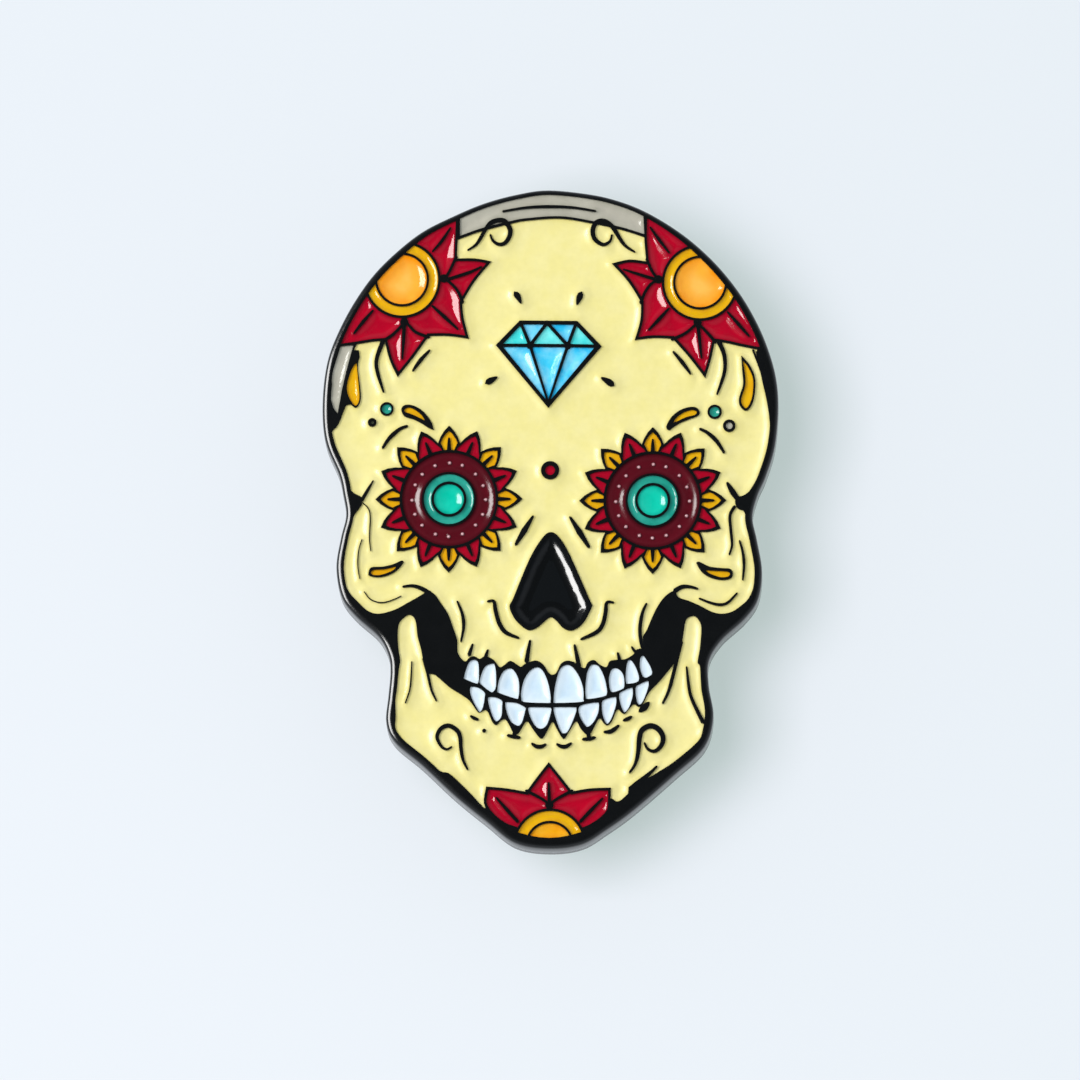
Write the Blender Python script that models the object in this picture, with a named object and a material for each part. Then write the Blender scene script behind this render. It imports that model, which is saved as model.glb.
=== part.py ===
"""Soft-enamel lapel pin with a calavera face, standing upright: X to the viewer's right, Z toward the crown, face toward -Y.

The pin is a struck metal plate with raised outlines, enamel poured into its pools, two posts
welded to the back, and two butterfly clutches that slide on the posts.
Each piece is modelled lying flat, with its face up, and is stood upright by the parent empty.
"""

import math

import bpy
from mathutils import Vector
from mathutils.geometry import delaunay_2d_cdt

# ---- driving dimensions, in millimetres --------------------------------------------------
GRID_X, GRID_Y = 0.067, 0.069  # the die drawing's grid, across and along
CENTRE = (550.5, 519.0)  # the drawing's point that lies on the plate's centre
PLATE = 2.0  # plate thickness, back face to the top of the raised lines
POOL_FLOOR = 1.60  # height of the pools' floors over the back face
ENAMEL_LOW, ENAMEL_TOP = 1.62, 1.86  # the enamel, just clear of the floor and under the lines
WALL_GAP = 0.02  # between enamel and pool wall
RIM = 0.42  # width of the raised rim
EDGE = 0.22  # rounding of the plate's front edge
BACK_EDGE = 0.12

POST_AT = ((0.0, 11.5), (0.0, -11.5))  # across and up, of the upper and the lower post
PAD_R, PAD_H = 2.2, 0.40
POST_R, POST_LENGTH, TIP, NECK_R = 0.55, 8.0, 1.6, 0.42
BASE_R, BASE_HOLE, BASE_T = 5.6, 0.62, 0.30
CLUTCH_TOP = 0.60  # from the plate's back to the clutch's base disc
SHELL_R, SHELL_WALL, SHELL_H = 3.9, 0.35, 4.0
WINDOW = (1.9, 1.0, 2.9)  # half width, and the heights where each side window starts and ends
ARM_T, ARM_H = 0.55, 1.3
WING_R, WING_T, WING_HALF, WING_H = 5.3, 0.40, 38.0, 3.4

MM = 0.001


# ---- plane geometry ------------------------------------------------------------------------
def at(x, y):
    """A point of the die drawing, whose y runs down, in millimetres on the plate."""
    return Vector(((x - CENTRE[0]) * GRID_X, (CENTRE[1] - y) * GRID_Y))


def area(loop):
    return 0.5 * sum(a.x * b.y - b.x * a.y for a, b in zip(loop, loop[1:] + loop[:1]))


def ccw(loop):
    return loop if area(loop) > 0 else loop[::-1]


def poly(*points):
    return ccw([at(*p) for p in points])


def spline(points, steps):
    """A closed Catmull-Rom curve through the drawing's points."""
    pts = [at(*p) for p in points]
    out = []
    for i in range(len(pts)):
        a, b, c, d = pts[i - 1], pts[i], pts[(i + 1) % len(pts)], pts[(i + 2) % len(pts)]
        for k in range(steps):
            t = k / steps
            out.append(
                0.5
                * (
                    2 * b
                    + (c - a) * t
                    + (2 * a - 5 * b + 4 * c - d) * t * t
                    + (3 * b - a - 3 * c + d) * t**3
                )
            )
    return ccw(out)


def disc(x, y, r, n=24):
    c = at(x, y)
    return [
        c + Vector((math.cos(2 * math.pi * i / n), math.sin(2 * math.pi * i / n))) * r * GRID_X
        for i in range(n)
    ]


def star(x, y, tip, valley, count):
    c = at(x, y)
    out = []
    for i in range(2 * count):
        a = math.pi / 2 + math.pi * i / count
        r = (valley if i % 2 else tip) * GRID_X
        out.append(c + Vector((math.cos(a), math.sin(a))) * r)
    return ccw(out)


def leaf(tip, end, width, n=5):
    """A teardrop: a sharp tip and a round end."""
    a, b = at(*tip), at(*end)
    along = (b - a).normalized()
    side = Vector((-along.y, along.x))
    length, half = (b - a).length, width * GRID_X / 2
    right = []
    for i in range(1, n + 1):
        t = i / n
        w = half * math.sin(math.pi * min(t, 0.985) ** 1.5) ** 0.8
        right.append((t, w))
    pts = [a] + [a + along * length * t + side * w for t, w in right]
    pts += [a + along * length * t - side * w for t, w in reversed(right)]
    return ccw(pts)


def offset(loop, d):
    """The loop moved outward by d; a loop that runs clockwise is a hole, and shrinks."""
    out = []
    for i in range(len(loop)):
        a, b, c = loop[i - 1], loop[i], loop[(i + 1) % len(loop)]
        t1, t2 = (b - a).normalized(), (c - b).normalized()
        n1, n2 = Vector((t1.y, -t1.x)), Vector((t2.y, -t2.x))
        m = (n1 + n2).normalized() if (n1 + n2).length > 1e-6 else n1
        out.append(b + m * (d / max(m.dot(n1), 0.4)))
    return out


def triangulate(loops):
    """Points, the triangles that lie in any loop, and for each the numbers of the loops it lies in."""
    verts, faces = [], []
    for loop in loops:
        faces.append(list(range(len(verts), len(verts) + len(loop))))
        verts += loop
    made = delaunay_2d_cdt(verts, [], faces, 1, 1e-5, True)
    kept = [(tuple(f), set(found)) for f, found in zip(made[2], made[5]) if found]
    return [Vector(v) for v in made[0]], [f for f, _ in kept], [found for _, found in kept]


def border(tris):
    """The directed edges of these triangles that no other of them shares."""
    edges = {(t[i], t[(i + 1) % 3]) for t in tris for i in range(3)}
    return [e for e in edges if (e[1], e[0]) not in edges]


def loops_of(tris):
    follow = {}
    for a, b in sorted(border(tris)):
        follow.setdefault(a, []).append(b)
    out = []
    while follow:
        start = min(follow)
        loop, here = [start], follow[start].pop()
        while here != start:
            loop.append(here)
            here_next = follow[here].pop()
            here = here_next
        follow = {k: v for k, v in follow.items() if v}
        out.append(loop)
    return out


# ---- the die drawing -----------------------------------------------------------------------
OUTLINE = spline(
    [
        (548, 188.8), (591.5, 193.4), (620, 200.5), (644, 210.2), (670, 225.2), (694, 243), (718, 266),
        (739.5, 293), (756, 321), (768, 349), (776, 378), (778.4, 408), (775, 447), (766, 477), (757.5, 496.5),
        (752.5, 518), (757, 541), (762, 572), (758, 600.5), (744.5, 620), (721.5, 641), (709, 662), (709, 687),
        (713.5, 717.5), (704.5, 747.5), (675, 775), (635, 809.5), (608, 829), (582.5, 844), (550, 848.2),
        (516, 842.5), (487, 820.7), (456, 795.6), (423, 764.8), (396, 742), (387, 722), (389, 696), (391, 672),
        (389, 655), (379, 636.3), (356.3, 616), (342, 596.5), (336.5, 567), (341, 537), (346, 515), (343, 494),
        (338.5, 474), (326.5, 446), (322.2, 421), (322.6, 388), (327.5, 357), (338.5, 328.5), (353.5, 300.5),
        (372.6, 273.5), (395.6, 250.4), (421.6, 230.2), (451.6, 215), (482.7, 202), (516, 193),
    ],
    2,
)
FACE = offset(OUTLINE, -EDGE)
RIM_INNER = offset(OUTLINE, -RIM)

SKULL = poly(
    (459, 240), (478, 231), (503, 224), (551, 219), (600, 223.5), (622, 229), (642, 238),
    (646, 260), (612, 263), (641, 301), (635, 341), (674, 339), (705, 380), (714, 344),
    (757, 352), (764, 372), (769, 411), (767, 445), (759, 478), (746, 500), (742, 512),
    (748, 528), (752, 550), (754, 575), (751, 595), (744, 608), (735, 613), (719, 614),
    (699, 605), (677, 593), (660, 605), (649, 625), (645, 640), (645, 650), (636, 656),
    (616, 660), (597, 659), (570, 660), (552, 663), (536, 660), (510, 662), (488, 658),
    (472, 655), (462, 650), (459, 640), (454, 625), (444, 605), (427, 592), (403, 605),
    (383, 614), (365, 611), (353, 606), (346, 587), (345, 562), (352, 530), (357, 512),
    (355, 502), (346, 480), (338, 458), (337, 440), (344, 420), (354, 412), (364, 404),
    (365, 385), (361, 353), (383, 341), (397, 375), (428, 337), (467, 339), (461, 301), (490, 261), (457, 259),
)
JAW = poly(
    (408, 615), (415, 624), (418, 645), (423, 662), (430, 675), (448, 688), (468, 705),
    (486, 725), (515, 737), (540, 742), (566, 743), (590, 739), (611, 732), (628, 723),
    (647, 712), (657, 699), (671, 686), (677, 668), (682, 645), (687, 625), (694, 617),
    (700, 628), (703, 645), (702, 670), (703, 690), (705, 712), (702, 732), (695, 743),
    (675, 761), (655, 777), (629, 790), (617, 801), (613, 786), (590, 788), (574, 791),
    (549, 761), (526, 791), (510, 787), (487, 786), (483, 804), (462, 784), (440, 766),
    (410, 742), (398, 727), (395, 712), (396, 690), (398, 665), (399, 640), (401, 622),
)
NOSE = spline(
    [
        (551, 536), (534, 558), (519, 585), (512, 606), (518, 622), (532, 629), (545, 624),
        (551, 616), (557, 624), (570, 629), (585, 622), (591, 606), (584, 584), (567, 558),
    ],
    1,
)
CROWN = poly(
    (459, 190), (459, 235), (478, 226.5), (503, 219.5), (551, 214.5), (600, 219.5),
    (622, 225), (641, 233), (641, 190),
)
TEMPLE = poly((343, 349), (351, 349), (345, 384), (339, 411), (333, 402), (331, 377))
TEETH_UP = poly(
    (467, 661), (481, 664), (510, 668), (536, 667), (552, 669), (569, 666), (597, 664),
    (616, 667), (640, 660), (652, 659), (651, 678), (630, 687), (597, 699), (569, 704),
    (536, 703), (509, 699), (489, 692), (473, 685), (465, 676),
)
TEETH_LOW = poly(
    (472, 690), (488, 698), (515, 704), (540, 708), (565, 709), (589, 704), (609, 699),
    (626, 690), (648, 684), (647, 700), (634, 708), (616, 720), (590, 727), (565, 732),
    (540, 730), (516, 725), (495, 720), (478, 711), (471, 700),
)
GEM = poly((494, 346), (519, 320), (577, 320.6), (602, 346.6), (548, 409))
GEM_UP = poly((500, 344.5), (521.5, 325), (575, 325.5), (595, 344.8))
GEM_LOW = poly((501, 349), (595, 349.4), (548, 402))
PETALS_L = poly(
    (330, 200), (457, 200), (457, 259), (491, 261), (461, 301), (468, 339), (428, 337),
    (397, 376), (383, 341), (341, 346), (320, 346),
)
PETALS_R = poly(
    (770, 200), (644, 200), (646, 261), (611, 263), (641, 301), (634.5, 341), (674, 339),
    (705, 381), (714, 344), (759, 351), (790, 351),
)
PETALS_C = poly(
    (487, 786), (510, 787), (526, 791), (549, 761), (574, 791), (590, 788), (613, 786),
    (609, 811), (597, 823), (583, 831), (550, 838), (518, 831), (505, 822), (493, 806),
)
EYE_L, EYE_R = (449, 500), (653, 502)
RING_L, RING_R, RING_C = (401, 279), (700, 283), (550.4, 845)
LINE = 0.10  # half the width of a raised line

# name: (loops the pool lies inside, loops it lies outside)
POOLS = {}


def pool(name, within, without=()):
    POOLS[name] = (list(within), list(without))


LEAVES = {
    "leaf_temple_left": leaf((355, 357), (354, 406), 11),
    "leaf_temple_right": leaf((742, 359), (747, 410), 13),
    "leaf_brow_left": leaf((433, 427), (403, 410), 9),
    "leaf_brow_right": leaf((668, 431), (698, 412), 9),
    "leaf_cheek_left": leaf((403, 563), (370, 571), 9),
    "leaf_cheek_right": leaf((697, 565), (732, 575), 9),
}
DOTS = {
    "dot_teal_left": disc(386, 409, 5.2, 12),
    "dot_dark_left": disc(372, 423, 2.6, 8),
    "dot_teal_right": disc(715, 413, 5.2, 12),
    "dot_cream_right": disc(729, 427, 3.6, 10),
    "dot_red_centre": disc(550, 471, 5.4, 12),
}
pool(
    "enamel_skull",
    [SKULL],
    [offset(star(*EYE_L, 72.5, 56, 16), LINE), offset(star(*EYE_R, 72.5, 56, 16), LINE)]
    + [offset(NOSE, 0.2), GEM]
    + [offset(loop, 0.2) for loop in list(LEAVES.values()) + list(DOTS.values())],
)
pool("enamel_jaw", [JAW])
pool("enamel_nose", [NOSE])
pool("enamel_crown", [CROWN, RIM_INNER])
pool("enamel_temple", [TEMPLE, RIM_INNER])
pool("teeth_upper", [TEETH_UP])
pool("teeth_lower", [TEETH_LOW])
pool("gem_crown", [GEM_UP])
pool("gem_pavilion", [GEM_LOW])
for side, petals, ring in (("left", PETALS_L, RING_L), ("right", PETALS_R, RING_R)):
    pool(f"flower_{side}_petals", [offset(petals, -0.2), RIM_INNER], [disc(*ring, 38.5)])
    pool(f"flower_{side}_ring", [disc(*ring, 35.8), RIM_INNER], [disc(*ring, 27.2)])
    pool(f"flower_{side}_disc", [disc(*ring, 24.8), RIM_INNER])
pool("flower_chin_petals", [offset(PETALS_C, -0.2)], [disc(*RING_C, 36.5)])
pool("flower_chin_ring", [offset(PETALS_C, -0.2), disc(*RING_C, 34)], [disc(*RING_C, 24.4)])
pool("flower_chin_disc", [offset(PETALS_C, -0.2), disc(*RING_C, 21.8)])
for side, eye in (("left", EYE_L), ("right", EYE_R)):
    pool(f"eye_{side}_petals", [offset(star(*eye, 72.5, 56, 16), -LINE)], [disc(*eye, 49.5, 32)])
    pool(f"eye_{side}_band", [disc(*eye, 46.5, 32)], [disc(*eye, 27.5)])
    pool(f"eye_{side}_ring", [disc(*eye, 24.8)], [disc(*eye, 18.4, 16)])
    pool(f"eye_{side}_dome", [disc(*eye, 15.4, 16)])
for name, loop in {**LEAVES, **DOTS}.items():
    pool(name, [loop])

COLOURS = {
    "skull": (0.92, 0.84, 0.37), "jaw": (0.92, 0.84, 0.37), "nose": (0.01, 0.01, 0.012),
    "crown": (0.58, 0.54, 0.46), "temple": (0.62, 0.58, 0.48), "teeth": (0.75, 0.87, 0.95),
    "gem_crown": (0.12, 0.75, 0.70), "gem_pavilion": (0.03, 0.52, 0.92),
    "petals": (0.48, 0.0, 0.02), "ring": (0.80, 0.45, 0.01), "disc": (0.95, 0.42, 0.08),
    "band": (0.12, 0.01, 0.015), "dome": (0.01, 0.52, 0.36), "leaf": (0.80, 0.45, 0.01),
    "teal": (0.05, 0.40, 0.33), "dark": (0.05, 0.05, 0.05), "cream": (0.9, 0.8, 0.4),
    "red": (0.25, 0.01, 0.02),
}


# ---- solids --------------------------------------------------------------------------------
def material(name, colour, metallic=0.0, roughness=0.2):
    mat = bpy.data.materials.new(name)
    mat.use_nodes = True
    shader = mat.node_tree.nodes["Principled BSDF"]
    shader.inputs["Base Color"].default_value = (*colour, 1.0)
    shader.inputs["Metallic"].default_value = metallic
    shader.inputs["Roughness"].default_value = roughness
    return mat


def add(name, verts, faces, mat, parent, location=(0, 0, 0), smooth=None):
    mesh = bpy.data.meshes.new(name)
    mesh.from_pydata([tuple(c * MM for c in v) for v in verts], [], faces)
    mesh.validate()
    obj = bpy.data.objects.new(name, mesh)
    bpy.context.scene.collection.objects.link(obj)
    obj.parent = parent
    obj.location = [c * MM for c in location]
    mesh.materials.append(mat)
    if smooth is not None:
        mesh.shade_smooth()
        mesh.set_sharp_from_angle(angle=math.radians(smooth))
    return obj


def slab(loops, low, top):
    """A flat solid between two heights from loops that bound it: outer ones CCW, holes CW."""
    points, tris, lies_in = triangulate([ccw(loop) for loop in loops])
    holes = {i for i, loop in enumerate(loops) if area(loop) < 0}
    tris = [t for t, found in zip(tris, lies_in) if found and not found & holes]
    n = len(points)
    verts = [(p.x, p.y, low) for p in points] + [(p.x, p.y, top) for p in points]
    faces = [t[::-1] for t in tris] + [tuple(i + n for i in t) for t in tris]
    faces += [(a, b, b + n, a + n) for a, b in border(tris)]
    return verts, faces


def spaced(loop, least):
    """The loop without the points that crowd the one before them."""
    out = [loop[0]]
    for p in loop[1:]:
        if (p - out[-1]).length > least:
            out.append(p)
    return out[1:] if (out[0] - out[-1]).length < least else out


def enamel(name, points, tris, parent):
    loops = [spaced([points[i] for i in loop], 3 * WALL_GAP) for loop in loops_of(tris)]
    loops = [offset(loop, -WALL_GAP) for loop in loops]
    key = next(k for k in COLOURS if k in name) if "gem" not in name else name
    verts, faces = slab(loops, ENAMEL_LOW, ENAMEL_TOP)
    add(name, verts, faces, material(name, COLOURS[key], 0.0, 0.15), parent)


def plate(parent):
    loops, rules = [FACE], {}
    for name, (within, without) in POOLS.items():
        first = len(loops)
        loops += within + without
        second = first + len(within)
        rules[name] = (set(range(first, second)), set(range(second, len(loops))))
    points, tris, lies_in = triangulate(loops)
    owner, metal = {}, []
    for t, found in zip(tris, lies_in):
        if 0 not in found:
            continue
        name = next((k for k, (w, out) in rules.items() if w <= found and not out & found), None)
        if name:
            owner.setdefault(name, []).append(t)
        else:
            metal.append(t)
    verts, faces, index = [], [], {}

    def vertex(i, height):
        if (i, height) not in index:
            index[(i, height)] = len(verts)
            verts.append((points[i].x, points[i].y, height))
        return index[(i, height)]

    for t in metal:
        faces.append(tuple(vertex(i, PLATE) for i in t))
    pooled = [t for group in owner.values() for t in group]
    for t in pooled:
        faces.append(tuple(vertex(i, POOL_FLOOR) for i in t))
    for a, b in border(pooled):
        faces.append(
            (vertex(a, PLATE), vertex(b, PLATE), vertex(b, POOL_FLOOR), vertex(a, POOL_FLOOR))
        )
    rim = [loop for loop in loops_of(metal + pooled)]
    rim = max(rim, key=len)
    rings = [[vertex(i, PLATE) for i in rim]]
    flat = [points[i] for i in rim]
    for grow, height in (
        (EDGE * 0.7, PLATE - EDGE * 0.3),
        (EDGE, PLATE - EDGE),
        (EDGE, BACK_EDGE),
        (EDGE - BACK_EDGE, 0.0),
    ):
        ring = []
        for p in offset(flat, grow):
            ring.append(len(verts))
            verts.append((p.x, p.y, height))
        rings.append(ring)
    n = len(rim)
    for upper, lower in zip(rings, rings[1:]):
        for i in range(n):
            j = (i + 1) % n
            faces.append((upper[i], lower[i], lower[j], upper[j]))
    base = rings[-1]
    flat = [Vector(verts[i][:2]) for i in base]
    under, under_tris, _ = triangulate([flat])
    nearest = [
        min(range(n), key=lambda k, q=q: (flat[k] - q).length_squared) for q in under
    ]
    faces += [tuple(base[nearest[i]] for i in t)[::-1] for t in under_tris]
    metal_mat = material("black_nickel", (0.012, 0.014, 0.016), 0.9, 0.25)
    obj = add("badge_plate", verts, faces, metal_mat, parent)
    for name in POOLS:
        enamel(name, points, owner[name], parent)
    return obj


def turned(profile, n=24):
    """A solid turned about the post's axis. The profile runs as (radius, height); a radius of 0 closes it."""
    verts, rows, faces = [], [], []
    for r, h in profile:
        if r == 0:
            rows.append([len(verts)])
            verts.append((0.0, 0.0, h))
        else:
            rows.append(list(range(len(verts), len(verts) + n)))
            verts += [
                (r * math.cos(2 * math.pi * i / n), r * math.sin(2 * math.pi * i / n), h)
                for i in range(n)
            ]
    closed = profile[0][0] != 0
    pairs = list(zip(rows, rows[1:])) + ([(rows[-1], rows[0])] if closed else [])
    for a, b in pairs:
        for i in range(n):
            j = (i + 1) % n
            if len(a) == 1:
                faces.append((a[0], b[j], b[i]))
            elif len(b) == 1:
                faces.append((a[i], a[j], b[0]))
            else:
                faces.append((a[i], a[j], b[j], b[i]))
    return verts, faces


def facing_out(verts, faces):
    volume = 0.0
    for f in faces:
        a = Vector(verts[f[0]])
        for k in range(1, len(f) - 1):
            volume += a.dot(Vector(verts[f[k]]).cross(Vector(verts[f[k + 1]])))
    return faces if volume > 0 else [f[::-1] for f in faces]


def add_turned(name, profile, mat, parent, location=(0, 0, 0), n=24):
    verts, faces = turned(profile, n)
    return add(name, verts, facing_out(verts, faces), mat, parent, location, 35)


def extruded(loop, low, top):
    n = len(loop)
    verts = [(p[0], p[1], low) for p in loop] + [(p[0], p[1], top) for p in loop]
    points, tris, _ = triangulate([ccw([Vector(p) for p in loop])])
    near = [min(range(n), key=lambda k, q=q: (Vector(loop[k]) - q).length_squared) for q in points]
    faces = []
    for t in tris:
        faces.append(tuple(near[i] for i in t)[::-1])
        faces.append(tuple(near[i] + n for i in t))
    turn = 1 if area([Vector(p) for p in loop]) > 0 else -1
    faces += [(i, (i + 1) % n, (i + 1) % n + n, i + n)[::turn] for i in range(n)]
    return verts, facing_out(verts, faces)


def post(name, x, y, mat, parent):
    """Weld pad, shaft with a neck for the clutch's jaws, and a sharpened tip. Heights run out of the plate's back."""
    end = -WALL_GAP
    add_turned(
        name,
        [
            (0, end), (PAD_R, end), (PAD_R, end - PAD_H * 0.7), (PAD_R - 0.3, end - PAD_H),
            (POST_R + 0.12, end - PAD_H), (POST_R, end - PAD_H - 0.15),
            (POST_R, -POST_LENGTH + TIP + 1.1), (NECK_R, -POST_LENGTH + TIP + 0.9),
            (NECK_R, -POST_LENGTH + TIP + 0.4), (POST_R * 0.95, -POST_LENGTH + TIP + 0.2),
            (POST_R * 0.8, -POST_LENGTH + TIP * 0.7), (0, -POST_LENGTH),
        ],
        mat, parent, (x, y, 0), 16,
    )


def clutch(which, x, y, parent):
    """Base disc, shell with two side windows, and two wings whose jaws hug the post from the far side."""
    nickel = material(f"nickel_{which}", (0.62, 0.60, 0.55), 1.0, 0.22)
    z0 = -CLUTCH_TOP
    add_turned(
        f"clutch_{which}_base",
        [
            (BASE_HOLE, z0 - BASE_T * 0.2), (BASE_HOLE, z0 - BASE_T * 1.2),
            (SHELL_R + 0.3, z0 - BASE_T * 1.2), (BASE_R - 0.25, z0 - BASE_T),
            (BASE_R, z0 - BASE_T * 0.6), (BASE_R, z0 - BASE_T * 0.2), (BASE_R - 0.2, z0),
            (SHELL_R + 0.3, z0 - BASE_T * 0.2),
        ],
        nickel, parent, (x, y, 0), 32,
    )
    top = z0 - BASE_T * 1.2 - WALL_GAP
    shell = add_turned(
        f"clutch_{which}_shell",
        [
            (SHELL_R, top), (SHELL_R, top - SHELL_H + 0.7), (SHELL_R - 0.25, top - SHELL_H + 0.2),
            (SHELL_R - 0.8, top - SHELL_H), (POST_R + 0.25, top - SHELL_H),
            (POST_R + 0.25, top - SHELL_H + SHELL_WALL),
            (SHELL_R - SHELL_WALL - 0.6, top - SHELL_H + SHELL_WALL),
            (SHELL_R - SHELL_WALL, top - SHELL_H + SHELL_WALL + 0.5), (SHELL_R - SHELL_WALL, top),
        ],
        nickel, parent, (x, y, 0), 32,
    )
    half, near, far = WINDOW
    cutter_verts, cutter_faces = extruded(
        [(-SHELL_R - 1, -half), (SHELL_R + 1, -half), (SHELL_R + 1, half), (-SHELL_R - 1, half)],
        top - far, top - near,
    )
    cutter = add(f"window_cutter_{which}", cutter_verts, cutter_faces, nickel, parent, (x, y, 0))
    cutter.hide_render = True
    cutter.display_type = "WIRE"
    cut = shell.modifiers.new("windows", "BOOLEAN")
    cut.operation, cut.solver, cut.object = "DIFFERENCE", "EXACT", cutter
    for side, sign in (("left", 1.0), ("right", -1.0)):
        # Drawn for the left wing; the right one is the same piece turned half round the post.
        arc = [math.radians(180 + a) for a in (-WING_HALF, -WING_HALF / 2, 0, WING_HALF / 2, WING_HALF)]
        outer = [((WING_R + WING_T) * math.cos(a), (WING_R + WING_T) * math.sin(a)) for a in arc]
        inner = [(WING_R * math.cos(a), WING_R * math.sin(a)) for a in arc]
        loop = outer + inner[::-1]
        wing_v, wing_f = extruded(loop, top - WINDOW[2] + 0.15 - 0.9, top - WINDOW[1] - 0.15 + 0.5)
        arm_loop = [
            (-WING_R - WING_T * 0.5, 0.85), (-WING_R - WING_T * 0.5, 0.85 + ARM_T), (1.25, 0.85 + ARM_T),
            (1.25, -0.7), (0.66, -0.7), (0.66, 0.85),
        ]
        arm_v, arm_f = extruded(arm_loop, top - WINDOW[2] + 0.3, top - WINDOW[2] + 0.3 + ARM_H)
        turn = [sign, sign, 1.0]
        wing = add(
            f"clutch_{which}_wing_{side}",
            [tuple(c * k for c, k in zip(v, turn)) for v in wing_v], wing_f,
            nickel, parent, (x, y, 0),
        )
        arm = add(
            f"arm_{which}_{side}",
            [tuple(c * k for c, k in zip(v, turn)) for v in arm_v], arm_f,
            nickel, parent, (x, y, 0),
        )
        arm.hide_render = True
        arm.display_type = "WIRE"
        join = wing.modifiers.new("arm", "BOOLEAN")
        join.operation, join.solver, join.object = "UNION", "EXACT", arm


def main():
    for obj in list(bpy.data.objects):
        bpy.data.objects.remove(obj, do_unlink=True)
    upright = bpy.data.objects.new("upright", None)
    bpy.context.scene.collection.objects.link(upright)
    upright.rotation_euler = (math.pi / 2, 0, 0)  # the face turns from up to -Y
    across = [v.co.x for v in plate(upright).data.vertices]
    along = [v.co.y for v in bpy.data.objects["badge_plate"].data.vertices]
    # The origin is the centre of the pin's box, from the raised lines to the posts' tips.
    upright.location = (
        -(min(across) + max(across)) / 2,
        (PLATE - POST_LENGTH) / 2 * MM,
        -(min(along) + max(along)) / 2,
    )
    steel = material("post_steel", (0.45, 0.45, 0.45), 1.0, 0.3)
    for which, (x, y) in zip(("upper", "lower"), POST_AT):
        post(f"post_{which}", x, y, steel, upright)
        clutch(which, x, y, upright)


main()
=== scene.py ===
import math
from collections import deque

import bmesh
import bpy
import numpy as np
from mathutils import Matrix, Vector
from mathutils.geometry import delaunay_2d_cdt
from mathutils.kdtree import KDTree


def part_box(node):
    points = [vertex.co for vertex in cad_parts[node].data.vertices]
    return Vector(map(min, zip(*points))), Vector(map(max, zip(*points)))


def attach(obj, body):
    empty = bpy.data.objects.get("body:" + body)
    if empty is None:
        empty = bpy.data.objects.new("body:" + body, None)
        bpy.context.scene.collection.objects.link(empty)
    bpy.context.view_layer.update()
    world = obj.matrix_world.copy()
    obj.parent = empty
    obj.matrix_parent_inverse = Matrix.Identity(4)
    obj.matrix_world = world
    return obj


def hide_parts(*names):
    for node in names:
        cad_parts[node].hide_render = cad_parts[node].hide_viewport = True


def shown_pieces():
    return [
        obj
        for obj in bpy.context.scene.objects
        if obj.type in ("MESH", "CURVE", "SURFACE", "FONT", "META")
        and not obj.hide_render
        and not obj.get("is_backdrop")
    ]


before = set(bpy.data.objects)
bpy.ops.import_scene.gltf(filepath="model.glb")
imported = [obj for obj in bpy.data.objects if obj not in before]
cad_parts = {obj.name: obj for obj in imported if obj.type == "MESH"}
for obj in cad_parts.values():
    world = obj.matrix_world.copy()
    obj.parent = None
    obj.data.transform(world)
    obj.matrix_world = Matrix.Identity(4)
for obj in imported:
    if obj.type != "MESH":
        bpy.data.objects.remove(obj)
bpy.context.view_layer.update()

# ---- the die drawing's grid, and where it lies on the CAD plate ---------------------------
GRID_X, GRID_Y = 0.067, 0.069
CENTRE = (550.5, 519.0)
PLATE = 2.0  # mm from the back to the top of the raised lines
FLOOR = 1.60
SHOULDER = 0.27  # rounding of the rim's outer edge
MM = 0.001


def at(x, y):
    return Vector(((x - CENTRE[0]) * GRID_X, (CENTRE[1] - y) * GRID_Y))


def area(loop):
    return 0.5 * sum(a.x * b.y - b.x * a.y for a, b in zip(loop, loop[1:] + loop[:1]))


def ccw(loop):
    return loop if area(loop) > 0 else loop[::-1]


def catmull(a, b, c, d, t):
    return [
        0.5
        * (
            2 * b[k]
            + (c[k] - a[k]) * t
            + (2 * a[k] - 5 * b[k] + 4 * c[k] - d[k]) * t * t
            + (3 * b[k] - a[k] - 3 * c[k] + d[k]) * t**3
        )
        for k in range(len(b))
    ]


def closed_curve(points, steps=4):
    n = len(points)
    return [
        tuple(catmull(points[i - 1], points[i], points[(i + 1) % n], points[(i + 2) % n], k / steps))
        for i in range(n)
        for k in range(steps)
    ]


def corners(points, sharp, steps=4):
    """A closed curve that stays sharp at the numbered points and is smooth at the others."""
    n = len(points)
    out = []
    for i in range(n):
        b, c = points[i], points[(i + 1) % n]
        a = b if i in sharp else points[i - 1]
        d = c if (i + 1) % n in sharp else points[(i + 2) % n]
        out += [tuple(catmull(a, b, c, d, k / steps)) for k in range(steps)]
    return out


def shrink(points, d):
    """The loop, in grid units, moved inward by d."""
    pts = [Vector(p) for p in points]
    if sum(a.x * b.y - b.x * a.y for a, b in zip(pts, pts[1:] + pts[:1])) < 0:
        d = -d
    out = []
    for i in range(len(pts)):
        a, b, c = pts[i - 1], pts[i], pts[(i + 1) % len(pts)]
        t1, t2 = (b - a).normalized(), (c - b).normalized()
        n1, n2 = Vector((-t1.y, t1.x)), Vector((-t2.y, t2.x))
        m = (n1 + n2).normalized() if (n1 + n2).length > 1e-6 else n1
        out.append(tuple(b + m * (d / max(m.dot(n1), 0.35))))
    return out


def circle(x, y, r, n=40, squash=1.0):
    return [
        (x + r * math.cos(2 * math.pi * i / n), y + r * squash * math.sin(2 * math.pi * i / n))
        for i in range(n)
    ]


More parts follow.
